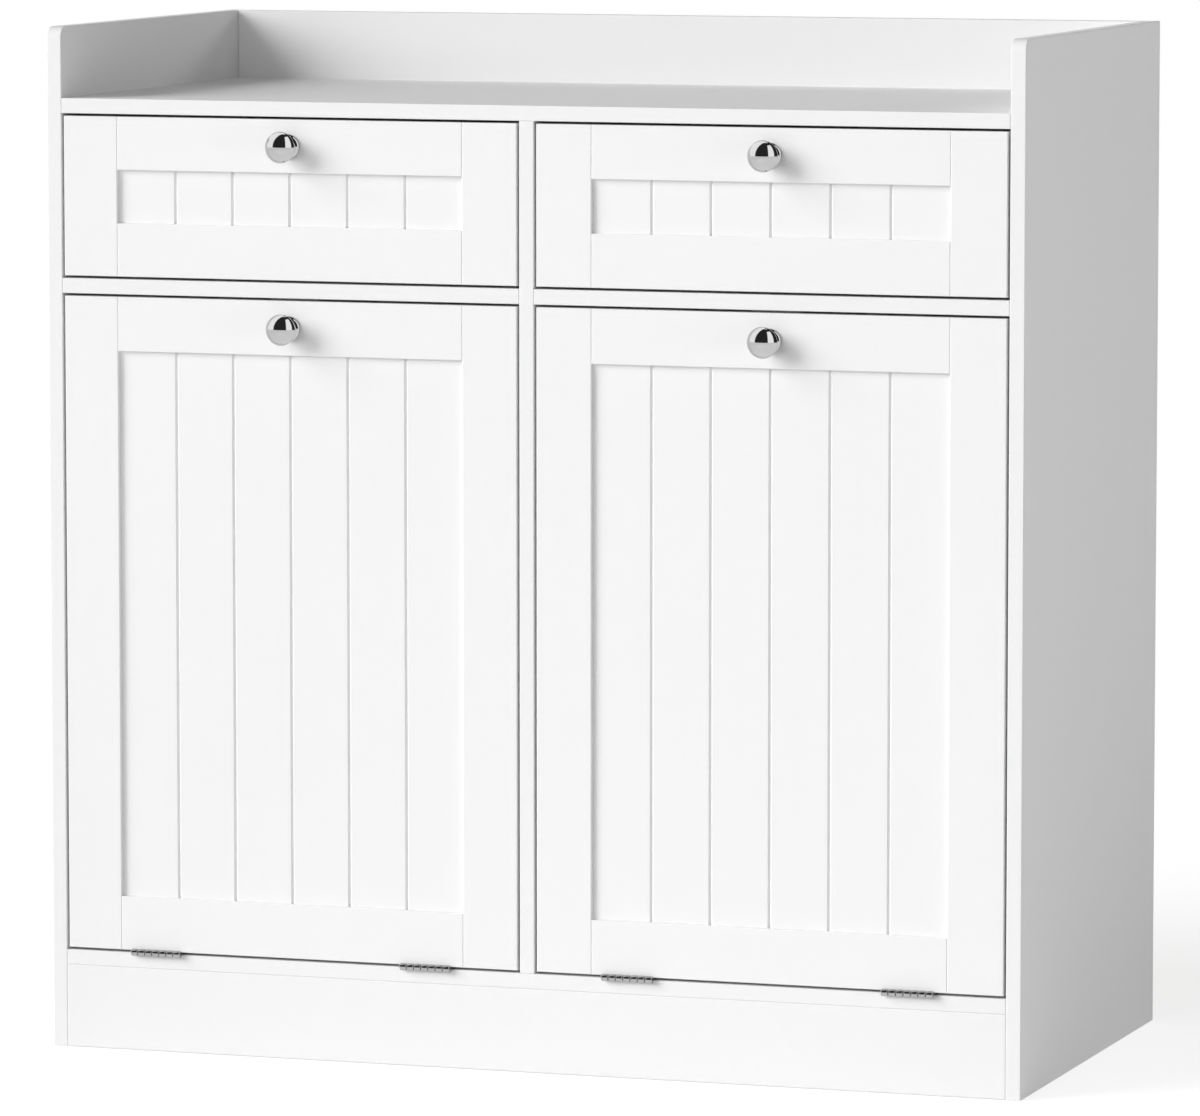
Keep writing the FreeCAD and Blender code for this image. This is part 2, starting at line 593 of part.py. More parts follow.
# Hamper frame and tilt stops
def hamper_side_board():
    """Side board on the door's back, with an arc slot about the hinge pin that the stop pin runs in."""
    body = new_body("hamper_side_board", x=f"{COLUMN_X} - {FRAME_WIDTH} / 2", y=HINGE_Y, z=HINGE_Z)
    sketch = new_sketch(body, "YZ_Plane")
    corners = ((DOOR_BACK, "hamper_lift"), (f"{FRAME_REAR} - hamper_corner", "hamper_lift"),
               (FRAME_REAR, "hamper_lift + hamper_corner"), (FRAME_REAR, f"{FRAME_REAR_TOP} - hamper_nose"),
               (f"{FRAME_REAR} - hamper_nose", f"{FRAME_REAR_TOP} + {FRAME_SLOPE} * hamper_nose"),
               (DOOR_BACK, FRAME_FRONT_TOP))
    profile(sketch, corners, {1: ("hamper_corner", 1), 3: ("hamper_nose", 1)})
    pad(body, sketch, "hamper_board")
    half = "(stop_pin / 2 + slot_play)"
    shut, tilted = "stop_angle", "(stop_angle - tilt_angle)"
    inside, outside = f"(slot_radius - {half})", f"(slot_radius + {half})"
    arc = new_sketch(body, "YZ_Plane")
    profile(arc, ((f"{inside} * cos({tilted})", f"{inside} * sin({tilted})"),
                  (f"{outside} * cos({tilted})", f"{outside} * sin({tilted})"),
                  (f"{outside} * cos({shut})", f"{outside} * sin({shut})"),
                  (f"{inside} * cos({shut})", f"{inside} * sin({shut})")), {1: (outside, 1), 3: (inside, -1)})
    pocket(body, arc, "hamper_board", reverse=True)
    for angle in (shut, tilted):
        end = new_sketch(body, "YZ_Plane")
        circle(end, f"slot_radius * cos({angle})", f"slot_radius * sin({angle})", half)
        pocket(body, end, "hamper_board", reverse=True)
    return body


def hamper_plank(name, y0, y1, low, height):
    """Board between the two side boards of the hamper frame, placed from the hinge pin."""
    body = new_body(name, x=COLUMN_X, y=HINGE_Y, z=f"{HINGE_Z} + {low}")
    sketch = new_sketch(body, "XY_Plane")
    rectangle(sketch, f"-{FRAME_INSIDE} / 2", f"{FRAME_INSIDE} / 2", y0, y1)
    pad(body, sketch, height)
    return body


def hamper_frame():
    both_columns("hamper_side_boards", *pair(hamper_side_board()))
    inside_front = f"{DOOR_BACK} + hamper_board"
    both_columns("hamper_front_rail",
                 hamper_plank("left_hamper_front_rail", DOOR_BACK, inside_front,
                              f"{FRAME_FRONT_TOP} - hamper_rail - bag_drop", "hamper_rail"))
    both_columns("hamper_rear_rail",
                 hamper_plank("left_hamper_rear_rail", f"{FRAME_REAR} - hamper_board", FRAME_REAR,
                              f"{FRAME_REAR_TOP} - hamper_nose - hamper_rail", "hamper_rail"))
    last_slat = f"{FRAME_REAR} - hamper_corner - slat_inset"
    front_slat = hamper_plank("front_slat", f"{inside_front} + slat_inset",
                              f"{inside_front} + slat_inset + slat_width", "hamper_lift", "hamper_board")
    rear_slat = hamper_plank("rear_slat", f"{last_slat} - slat_width", last_slat, "hamper_lift",
                             "hamper_board")
    both_columns("hamper_base_slats", front_slat, rear_slat)


def tilt_stops():
    """Flanged stop pin on the cabinet wall, through the slot of the side board beside it."""
    body = new_body("tilt_stop_pin", x=f"{COLUMN_X} - {OPENING_WIDTH} / 2",
                    y=f"{HINGE_Y} + slot_radius * cos(stop_angle)",
                    z=f"{HINGE_Z} + slot_radius * sin(stop_angle)")
    flange = new_sketch(body, "YZ_Plane")
    circle(flange, "0", "0", "stop_flange / 2")
    pad(body, flange, "stop_flange_thickness")
    shank = new_sketch(body, "YZ_Plane")
    circle(shank, "0", "0", "stop_pin / 2")
    pad(body, shank, "hamper_gap + hamper_board")
    left_pins = doc.addObject("Part::Compound", "left_tilt_stop_pins")
    left_pins.Links = pair(body)
    node("tilt_stop_pins", left_pins, mirrored(left_pins, "right_tilt_stop_pins", x="0"))


# Laundry bag
def laundry_bag():
    """Open cloth tub on the base slats: rounded like the side boards at its lower rear corner, with a rim
    that slopes down to the rear."""
    half = f"({FRAME_INSIDE} / 2 - bag_clear)"
    body = new_body("left_hamper_bag", x=f"{COLUMN_X} - {half}", y=HINGE_Y, z=HINGE_Z)
    front = f"{DOOR_BACK} + hamper_board + bag_clear"
    rear = f"{FRAME_REAR} - hamper_board - bag_clear"
    floor = "hamper_lift + hamper_board + bag_clear"
    front_rim = f"{FRAME_FRONT_TOP} - bag_drop"
    rear_rim = f"{front_rim} - hamper_fall"
    sketch = new_sketch(body, "YZ_Plane")
    corners = ((front, f"{floor} + hamper_corner"), (f"{front} + hamper_corner", floor),
               (f"{rear} - hamper_corner", floor), (rear, f"{floor} + hamper_corner"),
               (rear, rear_rim), (front, front_rim))
    profile(sketch, corners, {0: ("hamper_corner", 1), 2: ("hamper_corner", 1)})
    width = number(f"2 * {half}")
    pad(body, sketch, f"2 * {half}")
    lowest_rim = number(rear_rim)

    def below_rim_at_an_end(points):
        at_end = all(point.x < NEAR for point in points) or all(point.x > width - NEAR for point in points)
        return at_end and not all(point.z > lowest_rim - NEAR for point in points)

    round_edges(body, "bag_corner", below_rim_at_an_end)
    doc.recompute()
    base = body.Tip
    heights = [face.CenterOfMass.z for face in base.Shape.Faces]
    mouth = heights.index(max(heights)) + 1
    hollow = body.newObject("PartDesign::Thickness", "bag_hollow")
    hollow.Base = (base, [f"Face{mouth}"])
    hollow.Join = "Intersection"
    hollow.Reversed = True
    bind(hollow, Value="bag_wall")
    both_columns("hamper_bag", body)


# Magnetic catches
def catches():
    """Catch under each mid shelf and strike plate on the back of the door's upper rail."""
    catch_face = "front_thickness + strike_thickness + catch_gap"
    left = f"{COLUMN_X} - catch_width / 2"
    housing = plank("left_magnetic_catch", left, f"{left} + catch_width", catch_face,
                    f"{catch_face} + catch_depth", f"{SHELF_Z} - catch_height", "catch_height")
    node("magnetic_catches", housing, mirrored(housing, "right_magnetic_catch", x="0"))
    strike_left = f"{COLUMN_X} - strike_width / 2"
    strike_z = f"{DOOR_Z} + {DOOR_HEIGHT} - reveal - strike_height"
    both_columns("door_strike_plate",
                 plank("left_door_strike_plate", strike_left, f"{strike_left} + strike_width",
                       "front_thickness", "front_thickness + strike_thickness", strike_z, "strike_height",
                       eased=False))


def check_document():
    """Stop on any object that failed and on any sub-part without a sound shape."""
    for item in doc.Objects:
        if {"Invalid", "Error"} & set(item.State):
            raise RuntimeError(f"{item.Label} did not compute: {item.State}")
    for name, part in nodes.items():
        if part.Shape.isNull() or not part.Shape.isValid() or not part.Shape.Solids:
            raise RuntimeError(f"{name} has no sound solid")


carcass()
framed_front("drawer", DRAWER_Z, DRAWER_HEIGHT, "drawer_rail")
drawer_box()
drawer_runners()
framed_front("door", DOOR_Z, DOOR_HEIGHT, "door_rail")
hinges()
hamper_frame()
tilt_stops()
laundry_bag()
catches()
doc.recompute()
check_document()

os.makedirs("parts", exist_ok=True)
for name, part in nodes.items():
    part.Shape.exportStep(os.path.join("parts", f"{name}.step"))
print(f"{len(nodes)} sub-parts, {sum(len(part.Shape.Solids) for part in nodes.values())} solids")
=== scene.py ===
import json
import math
import random

import bpy
from bpy.props import FloatProperty, FloatVectorProperty, IntProperty, PointerProperty
from mathutils import Matrix, Vector


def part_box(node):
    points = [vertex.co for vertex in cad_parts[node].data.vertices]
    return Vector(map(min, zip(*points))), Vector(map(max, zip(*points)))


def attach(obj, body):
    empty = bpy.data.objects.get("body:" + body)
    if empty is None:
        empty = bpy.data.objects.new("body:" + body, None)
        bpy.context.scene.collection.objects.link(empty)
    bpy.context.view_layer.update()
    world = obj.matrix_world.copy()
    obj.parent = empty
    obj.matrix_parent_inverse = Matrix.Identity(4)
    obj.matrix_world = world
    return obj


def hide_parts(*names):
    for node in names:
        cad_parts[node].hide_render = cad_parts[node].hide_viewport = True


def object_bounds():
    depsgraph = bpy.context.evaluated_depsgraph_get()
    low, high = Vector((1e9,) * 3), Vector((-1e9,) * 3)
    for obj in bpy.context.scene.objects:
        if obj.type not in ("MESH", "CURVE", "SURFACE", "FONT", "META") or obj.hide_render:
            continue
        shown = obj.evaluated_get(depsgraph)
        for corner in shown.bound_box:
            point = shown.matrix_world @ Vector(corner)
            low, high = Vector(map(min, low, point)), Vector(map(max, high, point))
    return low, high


bl_info = {
    "name": "Laundry hamper cabinet",
    "version": (1, 0, 0),
    "blender": (4, 5, 0),
    "location": "View3D > Sidebar > Cabinet",
    "description": "Finishes, knobs, hinges, bags, fasteners and stage for a tilt-out laundry cabinet",
    "category": "Object",
}

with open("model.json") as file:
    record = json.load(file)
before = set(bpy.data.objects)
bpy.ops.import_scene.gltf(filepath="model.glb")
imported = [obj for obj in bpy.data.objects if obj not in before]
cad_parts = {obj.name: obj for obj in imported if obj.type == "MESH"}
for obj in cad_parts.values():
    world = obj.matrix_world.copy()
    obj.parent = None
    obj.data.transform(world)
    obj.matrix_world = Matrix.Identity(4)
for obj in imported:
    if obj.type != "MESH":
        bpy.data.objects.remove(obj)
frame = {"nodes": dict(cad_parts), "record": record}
CAD_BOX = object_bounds()

MM = 0.001
FULL_TURN = 2 * math.pi
SIDES = ("left", "right")
FRONTS = ("drawer", "door")

# Edges under the first angle are shaded smooth, and under the second they lie in one flat face
SMOOTH_BELOW = math.radians(38)
FLAT_BELOW = math.radians(0.5)

# Points this near count as touching, or are merged
TOUCHING = 0.02 * MM
MERGED = 0.001 * MM

# Least part of a face's normal along the direction that it faces
FACING = 0.9


# Settings that a user would change
def number(name, description, value, unit="NONE"):
    return FloatProperty(name=name, description=description, default=value, unit=unit)


def length(name, description, millimetres):
    return FloatProperty(name=name, description=description, default=millimetres * MM, min=0.0,
                         precision=5, unit="LENGTH")


def angle(name, description, degrees):
    return FloatProperty(name=name, description=description, default=math.radians(degrees), subtype="ANGLE")


def factor(name, description, value):
    return FloatProperty(name=name, description=description, default=value, subtype="FACTOR")


def point(name, description, *metres):
    return FloatVectorProperty(name=name, description=description, default=metres, size=3,
                               subtype="TRANSLATION", unit="LENGTH")


def colour(name, description, *rgb):
    return FloatVectorProperty(name=name, description=description, default=rgb, size=3, min=0.0, max=1.0,
                               subtype="COLOR")


class PaintSettings(bpy.types.PropertyGroup):
    """Colours of the boards and fronts"""
    board: colour("Boards", "Satin paint on the carcass boards", 0.86, 0.86, 0.86)
    front: colour("Fronts", "Satin paint on the drawer fronts and doors", 0.87, 0.87, 0.87)
    drawer: colour("Drawer boxes", "Melamine of the drawer boxes", 0.80, 0.80, 0.79)
    hamper: colour("Hamper frames", "Paint on the boards behind the doors", 0.82, 0.82, 0.81)
    hardboard: colour("Hardboard", "Bare rear face of the back panels", 0.30, 0.19, 0.11)
    roughness: factor("Roughness", "Roughness of the satin paint", 0.50)
    gloss: factor("Gloss", "Strength of the paint's reflection", 0.30)
    peel: length("Orange peel", "Spacing of the faint ripples in sprayed paint", 4.0)


class MetalSettings(bpy.types.PropertyGroup):
    """Colours of the metal and plastic parts"""
    chrome: colour("Chrome", "Polished chrome of the knobs", 0.51, 0.51, 0.515)
    nickel: colour("Nickel", "Plated hinges", 0.42, 0.42, 0.42)
    zinc: colour("Zinc", "Screws, nails, pins and strike plates", 0.55, 0.56, 0.58)
    plastic: colour("Plastic", "Catches and runners", 0.74, 0.74, 0.72)


KNOB_LOW, KNOB_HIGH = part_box("left_door_knob")


class KnobSettings(bpy.types.PropertyGroup):
    """Turned shape of the knobs"""
    head: length("Head", "Diameter of the head before its rim is rounded", 25.1)
    projection: length("Projection", "Tip in front of the door", (KNOB_HIGH.y - KNOB_LOW.y) / MM)
    crown: length("Crown", "Depth of the domed crown", 6.6)
    under: length("Underside", "Rim of the head to the neck", 3.2)
    edge: length("Edge", "Rounding of the head's rim", 0.6)
    neck: length("Neck", "Diameter of the neck", 11.5)
    foot: length("Foot", "Diameter of the foot", 19.5)
    foot_edge: length("Foot edge", "Thickness of the foot", 1.8)
    steps: IntProperty(name="Steps", description="Facets round the knob", default=96, min=12)


class BagSettings(bpy.types.PropertyGroup):
    """Cloth of the laundry bags"""
    cloth: colour("Cloth", "Cotton canvas of the bag", 0.84, 0.81, 0.75)
    thread: colour("Thread", "Sewing thread on the hem", 0.70, 0.64, 0.54)
    weave: length("Weave", "Spacing of the threads", 1.3)
    thickness: length("Thickness", "Thickness of the cloth", 1.0)
    clearance: length("Clearance", "Cloth to the edge of the space kept for it", 0.3)
    corner: length("Corner", "Rounding of the bag's upright corners", 40.0)
    lower_round: length("Lower edge", "Rounding of the bag's lower edge", 38.0)
    room: length("Room", "Space that the folds may swell into", 7.0)
    grid: length("Grid", "Spacing of the cloth's points", 10.0)
    slack: factor("Slack", "Spare length of the cloth, as a share", 0.13)
    frames: IntProperty(name="Frames", description="Steps for which the cloth sags", default=40, min=2)
    hem: length("Hem", "Height of the sewn hem", 30.0)
    hem_thickness: length("Hem thickness", "Folded cloth of the hem", 2.2)
    stitch: length("Stitch", "Length of a stitch", 3.4)
    stitch_pitch: length("Stitch pitch", "From one stitch to the next", 5.0)
    stitch_thick: length("Thread diameter", "Diameter of the sewing thread", 0.8)


class FastenerSettings(bpy.types.PropertyGroup):
    """Hinge knuckles, nails, screws, cam locks and press studs"""
    knuckle_edge: length("Knuckle edge", "Rounding of the rims of the hinges' knuckles", 0.9)
    nail: length("Nail", "Diameter of a nail's head", 5.0)
    nail_spacing: length("Nail spacing", "Nails along the edges of the back", 85.0)
    nail_inset: length("Nail inset", "Nails from the edges of the back", 4.5)
    screw: length("Screw", "Diameter of a countersunk screw's head", 7.5)
    screw_slot: length("Screw slot", "Reach of the cross slot in a screw's head", 4.5)
    screw_inset: length("Screw inset", "Screws from the ends of the board that they hold", 16.0)
    cam: length("Cam lock", "Diameter of a cam lock", 15.0)
    cam_slot: length("Cam slot", "Reach of the cross slot in a cam lock", 7.5)
    cam_setback: length("Cam setback", "Cam lock behind the drawer's front", 32.0)
    stud: length("Press stud", "Diameter of the press studs that hold a bag", 12.0)
    proud: length("Proud", "Heads above the surface around them", 0.5)


class StageSettings(bpy.types.PropertyGroup):
    """Camera, floor and light"""
    camera: point("Camera", "Place of the camera", 1.98965, -5.90318, 1.04547)
    yaw: angle("Yaw", "Camera's turn to the left of straight on", 18.655)
    pitch: angle("Pitch", "Camera's tilt below the horizon", 6.045)
    lens: number("Lens", "Focal length in millimetres", 234.98, "CAMERA")
    floor: colour("Floor", "Colour of the floor as it lights the cabinet", 0.72, 0.72, 0.72)
    floor_shade: factor("Floor shade", "Share of the floor's colour that takes the shadow to the eye", 0.6)
    floor_glow: factor("Floor glow", "White that the floor shows to the eye by itself", 0.76)
    floor_size: number("Floor size", "Side of the floor", 60.0, "LENGTH")
    floor_drop: length("Floor drop", "Floor below the cabinet, so that their faces stay apart", 0.5)
    ambient: number("Ambient", "Strength of the even soft light all round", 0.20)
    key: number("Key", "Strength of the key light", 2.78)
    key_azimuth: angle("Key azimuth", "Key light to the left of straight on", 52.0)
    key_elevation: angle("Key elevation", "Key light above the horizon", 24.0)
    key_softness: angle("Key softness", "Apparent size of the key light", 40.0)
    rim: number("Rim", "Strength of the weak light from behind", 0.38)
    rim_azimuth: angle("Rim azimuth", "Rim light to the right of straight on", 135.0)
    rim_elevation: angle("Rim elevation", "Rim light above the horizon", 17.0)
    rim_softness: angle("Rim softness", "Apparent size of the rim light", 12.0)
    front: number("Front", "Power of the soft lamp in front", 11.8, "POWER")
    front_place: point("Front place", "Middle of the lamp in front", -0.4, -2.4, 0.9)
    front_width: length("Front width", "Width of the lamp in front", 1600.0)
    front_height: length("Front height", "Height of the lamp in front", 1200.0)
    card: number("Card", "Power of the low bounce card on the right", 15.7, "POWER")
    card_place: point("Card place", "Middle of the bounce card", 3.0, -0.6, 0.4)
    card_width: length("Card width", "Width of the bounce card", 3000.0)
    card_height: length("Card height", "Height of the bounce card", 800.0)


# Shader maths
class Wire:
    """A socket of a node tree; arithmetic on it adds Math nodes."""

    def __init__(self, nodes, socket):
        self.nodes, self.socket = nodes, socket

    def out(self, name):
        """Another output of the same node."""
        return Wire(self.nodes, self.socket.node.outputs[name])

    def math(self, operation, first, second=0.0):
        return self.nodes.add("ShaderNodeMath", {"operation": operation}, {0: first, 1: second})

    def __add__(self, other):
        return self.math("ADD", self, other)

    def __radd__(self, other):
        return self.math("ADD", other, self)

    def __sub__(self, other):
        return self.math("SUBTRACT", self, other)

    def __rsub__(self, other):
        return self.math("SUBTRACT", other, self)

    def __mul__(self, other):
        return self.math("MULTIPLY", self, other)

    def __rmul__(self, other):
        return self.math("MULTIPLY", other, self)

    def __neg__(self):
        return self.math("MULTIPLY", self, -1.0)

    def __abs__(self):
        return self.math("ABSOLUTE", self)

    def __gt__(self, other):
        return self.math("GREATER_THAN", self, other)

    def sine(self):
        return self.math("SINE", self)

    def rise(self, start, finish):
        """Smooth step from 0 at start to 1 at finish."""
        return self.nodes.add("ShaderNodeMapRange", {"interpolation_type": "SMOOTHSTEP"},
                              {"Value": self, "From Min": start, "From Max": finish})


class Nodes:
    """Builder of one node tree."""
    NOISE_MIDDLE = 0.5

    def __init__(self, tree):
        self.tree = tree
        tree.nodes.clear()

    def add(self, kind, settings=None, sockets=None, output=0):
        """Add a node: its settings first, then the values or links of its sockets."""
        node = self.tree.nodes.new(kind)
        for name, value in (settings or {}).items():
            setattr(node, name, value)
        for key, value in (sockets or {}).items():
            socket = self.pick(node.inputs, key)
            if isinstance(value, Wire):
                self.tree.links.new(value.socket, socket)
            else:
                socket.default_value = value
        if node.outputs:
            return Wire(self, self.pick(node.outputs, output))

    @staticmethod
    def pick(sockets, key):
        """A socket by its number, or the one in use that has a name."""
        if isinstance(key, int):
            return sockets[key]
        return next(socket for socket in sockets if socket.name == key and socket.enabled)

    def place(self):
        """The piece's own coordinates."""
        return self.add("ShaderNodeTexCoord", output="Object")

    def facing(self):
        """The three components of the direction that the surface faces."""
        return self.axes(self.add("ShaderNodeNewGeometry", output="Normal"))

    def noise(self, scale, detail=2.0, stretch=(1, 1, 1)):
        """Noise on the piece's own coordinates, about its middle: from about -0.5 to 0.5."""
        spread = self.add("ShaderNodeMapping", None, {"Vector": self.place(), "Scale": stretch})
        sockets = {"Vector": spread, "Scale": scale, "Detail": detail}
        return self.add("ShaderNodeTexNoise", None, sockets) - self.NOISE_MIDDLE

    def axes(self, vector):
        """The three components of a vector."""
        first = self.add("ShaderNodeSeparateXYZ", None, {0: vector})
        return first, first.out("Y"), first.out("Z")

    def mix(self, share, first, second):
        """Colour between two colours."""
        return self.add("ShaderNodeMix", {"data_type": "RGBA"}, {"Factor": share, "A": first, "B": second},
                        output="Result")

    def shades(self, rgb, noise, dark, light):
        """Colour that follows a noise from a darker to a lighter share of itself."""
        return self.mix(noise + self.NOISE_MIDDLE, scaled(rgb, dark), scaled(rgb, light))

    def bump(self, height, distance):
        sockets = {"Height": height, "Distance": distance}
        return self.add("ShaderNodeBump", None, sockets, output="Normal")


def opaque(rgb):
    return (*rgb, 1.0)


def scaled(rgb, share):
    return (*(channel * share for channel in rgb), 1.0)


def finish(name, build):
    """A material whose principled shader gets the sockets that build returns."""
    material = bpy.data.materials.new(name)
    material.use_nodes = True
    nodes = Nodes(material.node_tree)
    shader = nodes.add("ShaderNodeBsdfPrincipled", None, build(nodes))
    nodes.add("ShaderNodeOutputMaterial", None, {"Surface": shader})
    return material


# Finishes
def satin_paint(name, rgb, paint):
    """Sprayed satin paint: faint ripples, a few specks and a slightly uneven sheen."""
    specks_per_ripple = 9
    speck_height = 0.15

    def build(nodes):
        cloud = nodes.noise(scale=2.6)
        peel = nodes.noise(scale=1 / paint.peel)
        grit = nodes.noise(scale=specks_per_ripple / paint.peel, detail=1.0)
        return {"Base Color": nodes.shades(rgb, cloud, dark=0.985, light=1.015),
                "Roughness": paint.roughness + 0.08 * cloud + 0.10 * peel,
                "Specular IOR Level": paint.gloss,
                "Normal": nodes.bump(peel + speck_height * grit, distance=0.06 * MM)}
    return finish(name, build)


def melamine(name, rgb):
    """Foil-faced board with a fine embossed grain along its length."""
    def build(nodes):
        pores = nodes.noise(scale=900, stretch=(1, 0.12, 0.12))
        cloud = nodes.noise(scale=5.0)
        return {"Base Color": nodes.shades(rgb, cloud, dark=0.97, light=1.02),
                "Roughness": 0.46 + 0.14 * pores,
                "Normal": nodes.bump(pores, distance=0.12 * MM)}
    return finish(name, build)


def hardboard(name, bare, painted):
    """Hardboard back: bare pressed fibre on the rear face, white lacquer on the others."""
    bare_roughness = 0.18
    rear_above = 0.5

    def build(nodes):
        rear = nodes.facing()[1] > rear_above
        fibre = nodes.noise(scale=420, detail=5.0, stretch=(1, 1, 0.45))
        blotch = nodes.noise(scale=9.0, detail=4.0)
        brown = nodes.shades(bare, blotch + 0.7 * fibre, dark=0.72, light=1.30)
        return {"Base Color": nodes.mix(rear, opaque(painted), brown),
                "Roughness": 0.50 + bare_roughness * rear + 0.20 * fibre,
                "Normal": nodes.bump(fibre, distance=0.3 * MM)}
    return finish(name, build)


def polished(name, rgb):
    """Mirror chrome with faint polishing haze."""
    def build(nodes):
        haze = nodes.noise(scale=160, detail=3.0)
        return {"Base Color": opaque(rgb),
                "Metallic": 1.0,
                "Roughness": 0.05 + 0.05 * haze,
                "Normal": nodes.bump(haze, distance=0.004 * MM)}
    return finish(name, build)


def plated(name, rgb, roughness, streak=(1, 1, 1)):
    """Plated steel, with the faint streaks of the rolled sheet under the plating."""
    def build(nodes):
        grain = nodes.noise(scale=700, detail=3.0, stretch=streak)
        stain = nodes.noise(scale=60, detail=3.0)
        return {"Base Color": nodes.shades(rgb, stain, dark=0.86, light=1.08),
                "Metallic": 1.0,
                "Roughness": roughness + 0.16 * grain,
                "Normal": nodes.bump(grain, distance=0.04 * MM)}
    return finish(name, build)


def moulded(name, rgb):
    """Moulded plastic with a fine spark-eroded grain."""
    def build(nodes):
        grain = nodes.noise(scale=1500)
        cloud = nodes.noise(scale=14.0)
        return {"Base Color": nodes.shades(rgb, cloud, dark=0.97, light=1.03),
                "Roughness": 0.48 + 0.15 * grain,
                "Normal": nodes.bump(grain, distance=0.08 * MM)}
    return finish(name, build)


def canvas(name, rgb, pitch):
    """Plain weave: crossing threads that follow the wall they lie on, with uneven yarn."""
    hollow, raised = 0.25, 0.62
    level_above = 0.75

    def build(nodes):
        x, y, z = nodes.axes(nodes.place())
        across_x, across_y, upward = (abs(part) for part in nodes.facing())
        level = upward > level_above
        sideways = across_x > across_y
        across = x + sideways * (y - x) * (1 - level)
        along = z + level * (y - z)
        turns = FULL_TURN / (2 * pitch)
        warp, weft = (across * turns).sine(), (along * turns).sine()
        over = (warp * weft) > 0.0
        threads = over * abs(warp) + (1 - over) * abs(weft)
        slub = nodes.noise(scale=240, detail=3.0, stretch=(1, 1, 0.2))
        dye = nodes.noise(scale=11.0, detail=3.0)
        tone = raised * threads + hollow + 0.6 * slub + 0.35 * dye
        return {"Base Color": nodes.mix(tone, scaled(rgb, 0.74), scaled(rgb, 1.12)),
                "Roughness": 0.90 + 0.10 * slub,
                "Sheen Weight": 0.25,
                "Normal": nodes.bump(threads + 0.5 * slub, distance=0.35 * MM)}
    return finish(name, build)


def make_finishes(scene):
    """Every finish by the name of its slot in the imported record."""
    paint, metal, bag = scene.cabinet_paint, scene.cabinet_metal, scene.cabinet_bag
    return {
        "painted_board": satin_paint("board_paint", paint.board, paint),
        "painted_front": satin_paint("front_paint", paint.front, paint),
        "drawer_board": melamine("drawer_melamine", paint.drawer),
        "hamper_board": satin_paint("hamper_paint", paint.hamper, paint),
        "hardboard": hardboard("back_hardboard", paint.hardboard, paint.drawer),
        "chrome": polished("knob_chrome", metal.chrome),
        "hinge_steel": plated("hinge_nickel", metal.nickel, roughness=0.20, streak=(0.1, 1, 1)),
        "zinc_steel": plated("fastener_zinc", metal.zinc, roughness=0.38),
        "nylon": moulded("runner_nylon", metal.plastic),
        "catch_plastic": moulded("catch_housing", scaled(metal.plastic, 0.9)[:3]),
        "canvas": canvas("bag_canvas", bag.cloth, bag.weave),
        "thread": moulded("sewing_thread", bag.thread),
    }


finishes = {}


# Modelling helpers
def deselect_all():
    if bpy.context.mode != "OBJECT":
        bpy.ops.object.mode_set(mode="OBJECT")
    bpy.ops.object.select_all(action="DESELECT")


def activate(piece):
    deselect_all()
    piece.select_set(True)
    bpy.context.view_layer.objects.active = piece


def edit(piece):
    """Edit mode on one piece, with nothing selected."""
    activate(piece)
    bpy.ops.object.mode_set(mode="EDIT")
    bpy.ops.mesh.select_mode(type="VERT")
    bpy.ops.mesh.select_all(action="DESELECT")


def select_where(piece, kind, test):
    """In edit mode, select the piece's VERT, EDGE or FACE elements that pass a test."""
    bpy.ops.mesh.select_mode(type=kind)
    bpy.ops.mesh.select_all(action="DESELECT")
    bpy.ops.object.mode_set(mode="OBJECT")
    mesh = piece.data
    for element in {"VERT": mesh.vertices, "EDGE": mesh.edges, "FACE": mesh.polygons}[kind]:
        element.select = test(element)
    bpy.ops.object.mode_set(mode="EDIT")


def apply_modifier(piece, kind, **settings):
    activate(piece)
    modifier = piece.modifiers.new(kind.title(), kind)
    for name, value in settings.items():
        setattr(modifier, name, value)
    bpy.ops.object.modifier_apply(modifier=modifier.name)


def tidy_normals(piece):
    edit(piece)
    bpy.ops.mesh.select_all(action="SELECT")
    bpy.ops.mesh.remove_doubles(threshold=MERGED)
    bpy.ops.mesh.normals_make_consistent(inside=False)
    bpy.ops.object.mode_set(mode="OBJECT")


def copy_of(piece, name, matrix):
    """A copy with its own mesh, moved within the mesh."""
    mesh = piece.data.copy()
    mesh.transform(matrix)
    twin = bpy.data.objects.new(name, mesh)
    bpy.context.scene.collection.objects.link(twin)
    return twin


def join_copies(piece, name, matrices):
    """One object made of a copy of the piece at each place; the pattern piece is removed."""
    copies = [copy_of(piece, f"{name}_part", matrix) for matrix in matrices]
    bpy.data.objects.remove(piece)
    activate(copies[0])
    for item in copies[1:]:
        item.select_set(True)
    bpy.ops.object.join()
    joined = bpy.context.object
    joined.name = name
    return joined


def fit(piece, body, slot, material=None):
    """Finish a piece: smooth shading, the material of its slot or the one given, and the body that carries
    it.
    """
    activate(piece)
    bpy.ops.object.shade_smooth_by_angle(angle=SMOOTH_BELOW)
    piece.data.name = piece.name
    piece.data.materials.clear()
    piece.data.materials.append(material or finishes[slot])
    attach(piece, body)


def arc_points(start, finish, radius, bulge, count):
    """Points after start along an arc to finish; a positive bulge keeps its centre on the left."""
    a, b = Vector(start), Vector(finish)
    chord = b - a
    rise = math.sqrt(radius ** 2 - (chord.length / 2) ** 2)
    centre = (a + b) / 2 + Vector((-chord.y, chord.x)).normalized() * rise * bulge
    first, last = a - centre, b - centre
    sweep = -first.angle_signed(last)
    points = []
    for step in range(1, count + 1):
        turn = sweep * step / count
        spun = Vector((first.x * math.cos(turn) - first.y * math.sin(turn),
                       first.x * math.sin(turn) + first.y * math.cos(turn)))
        points.append(tuple(centre + spun))
    return points


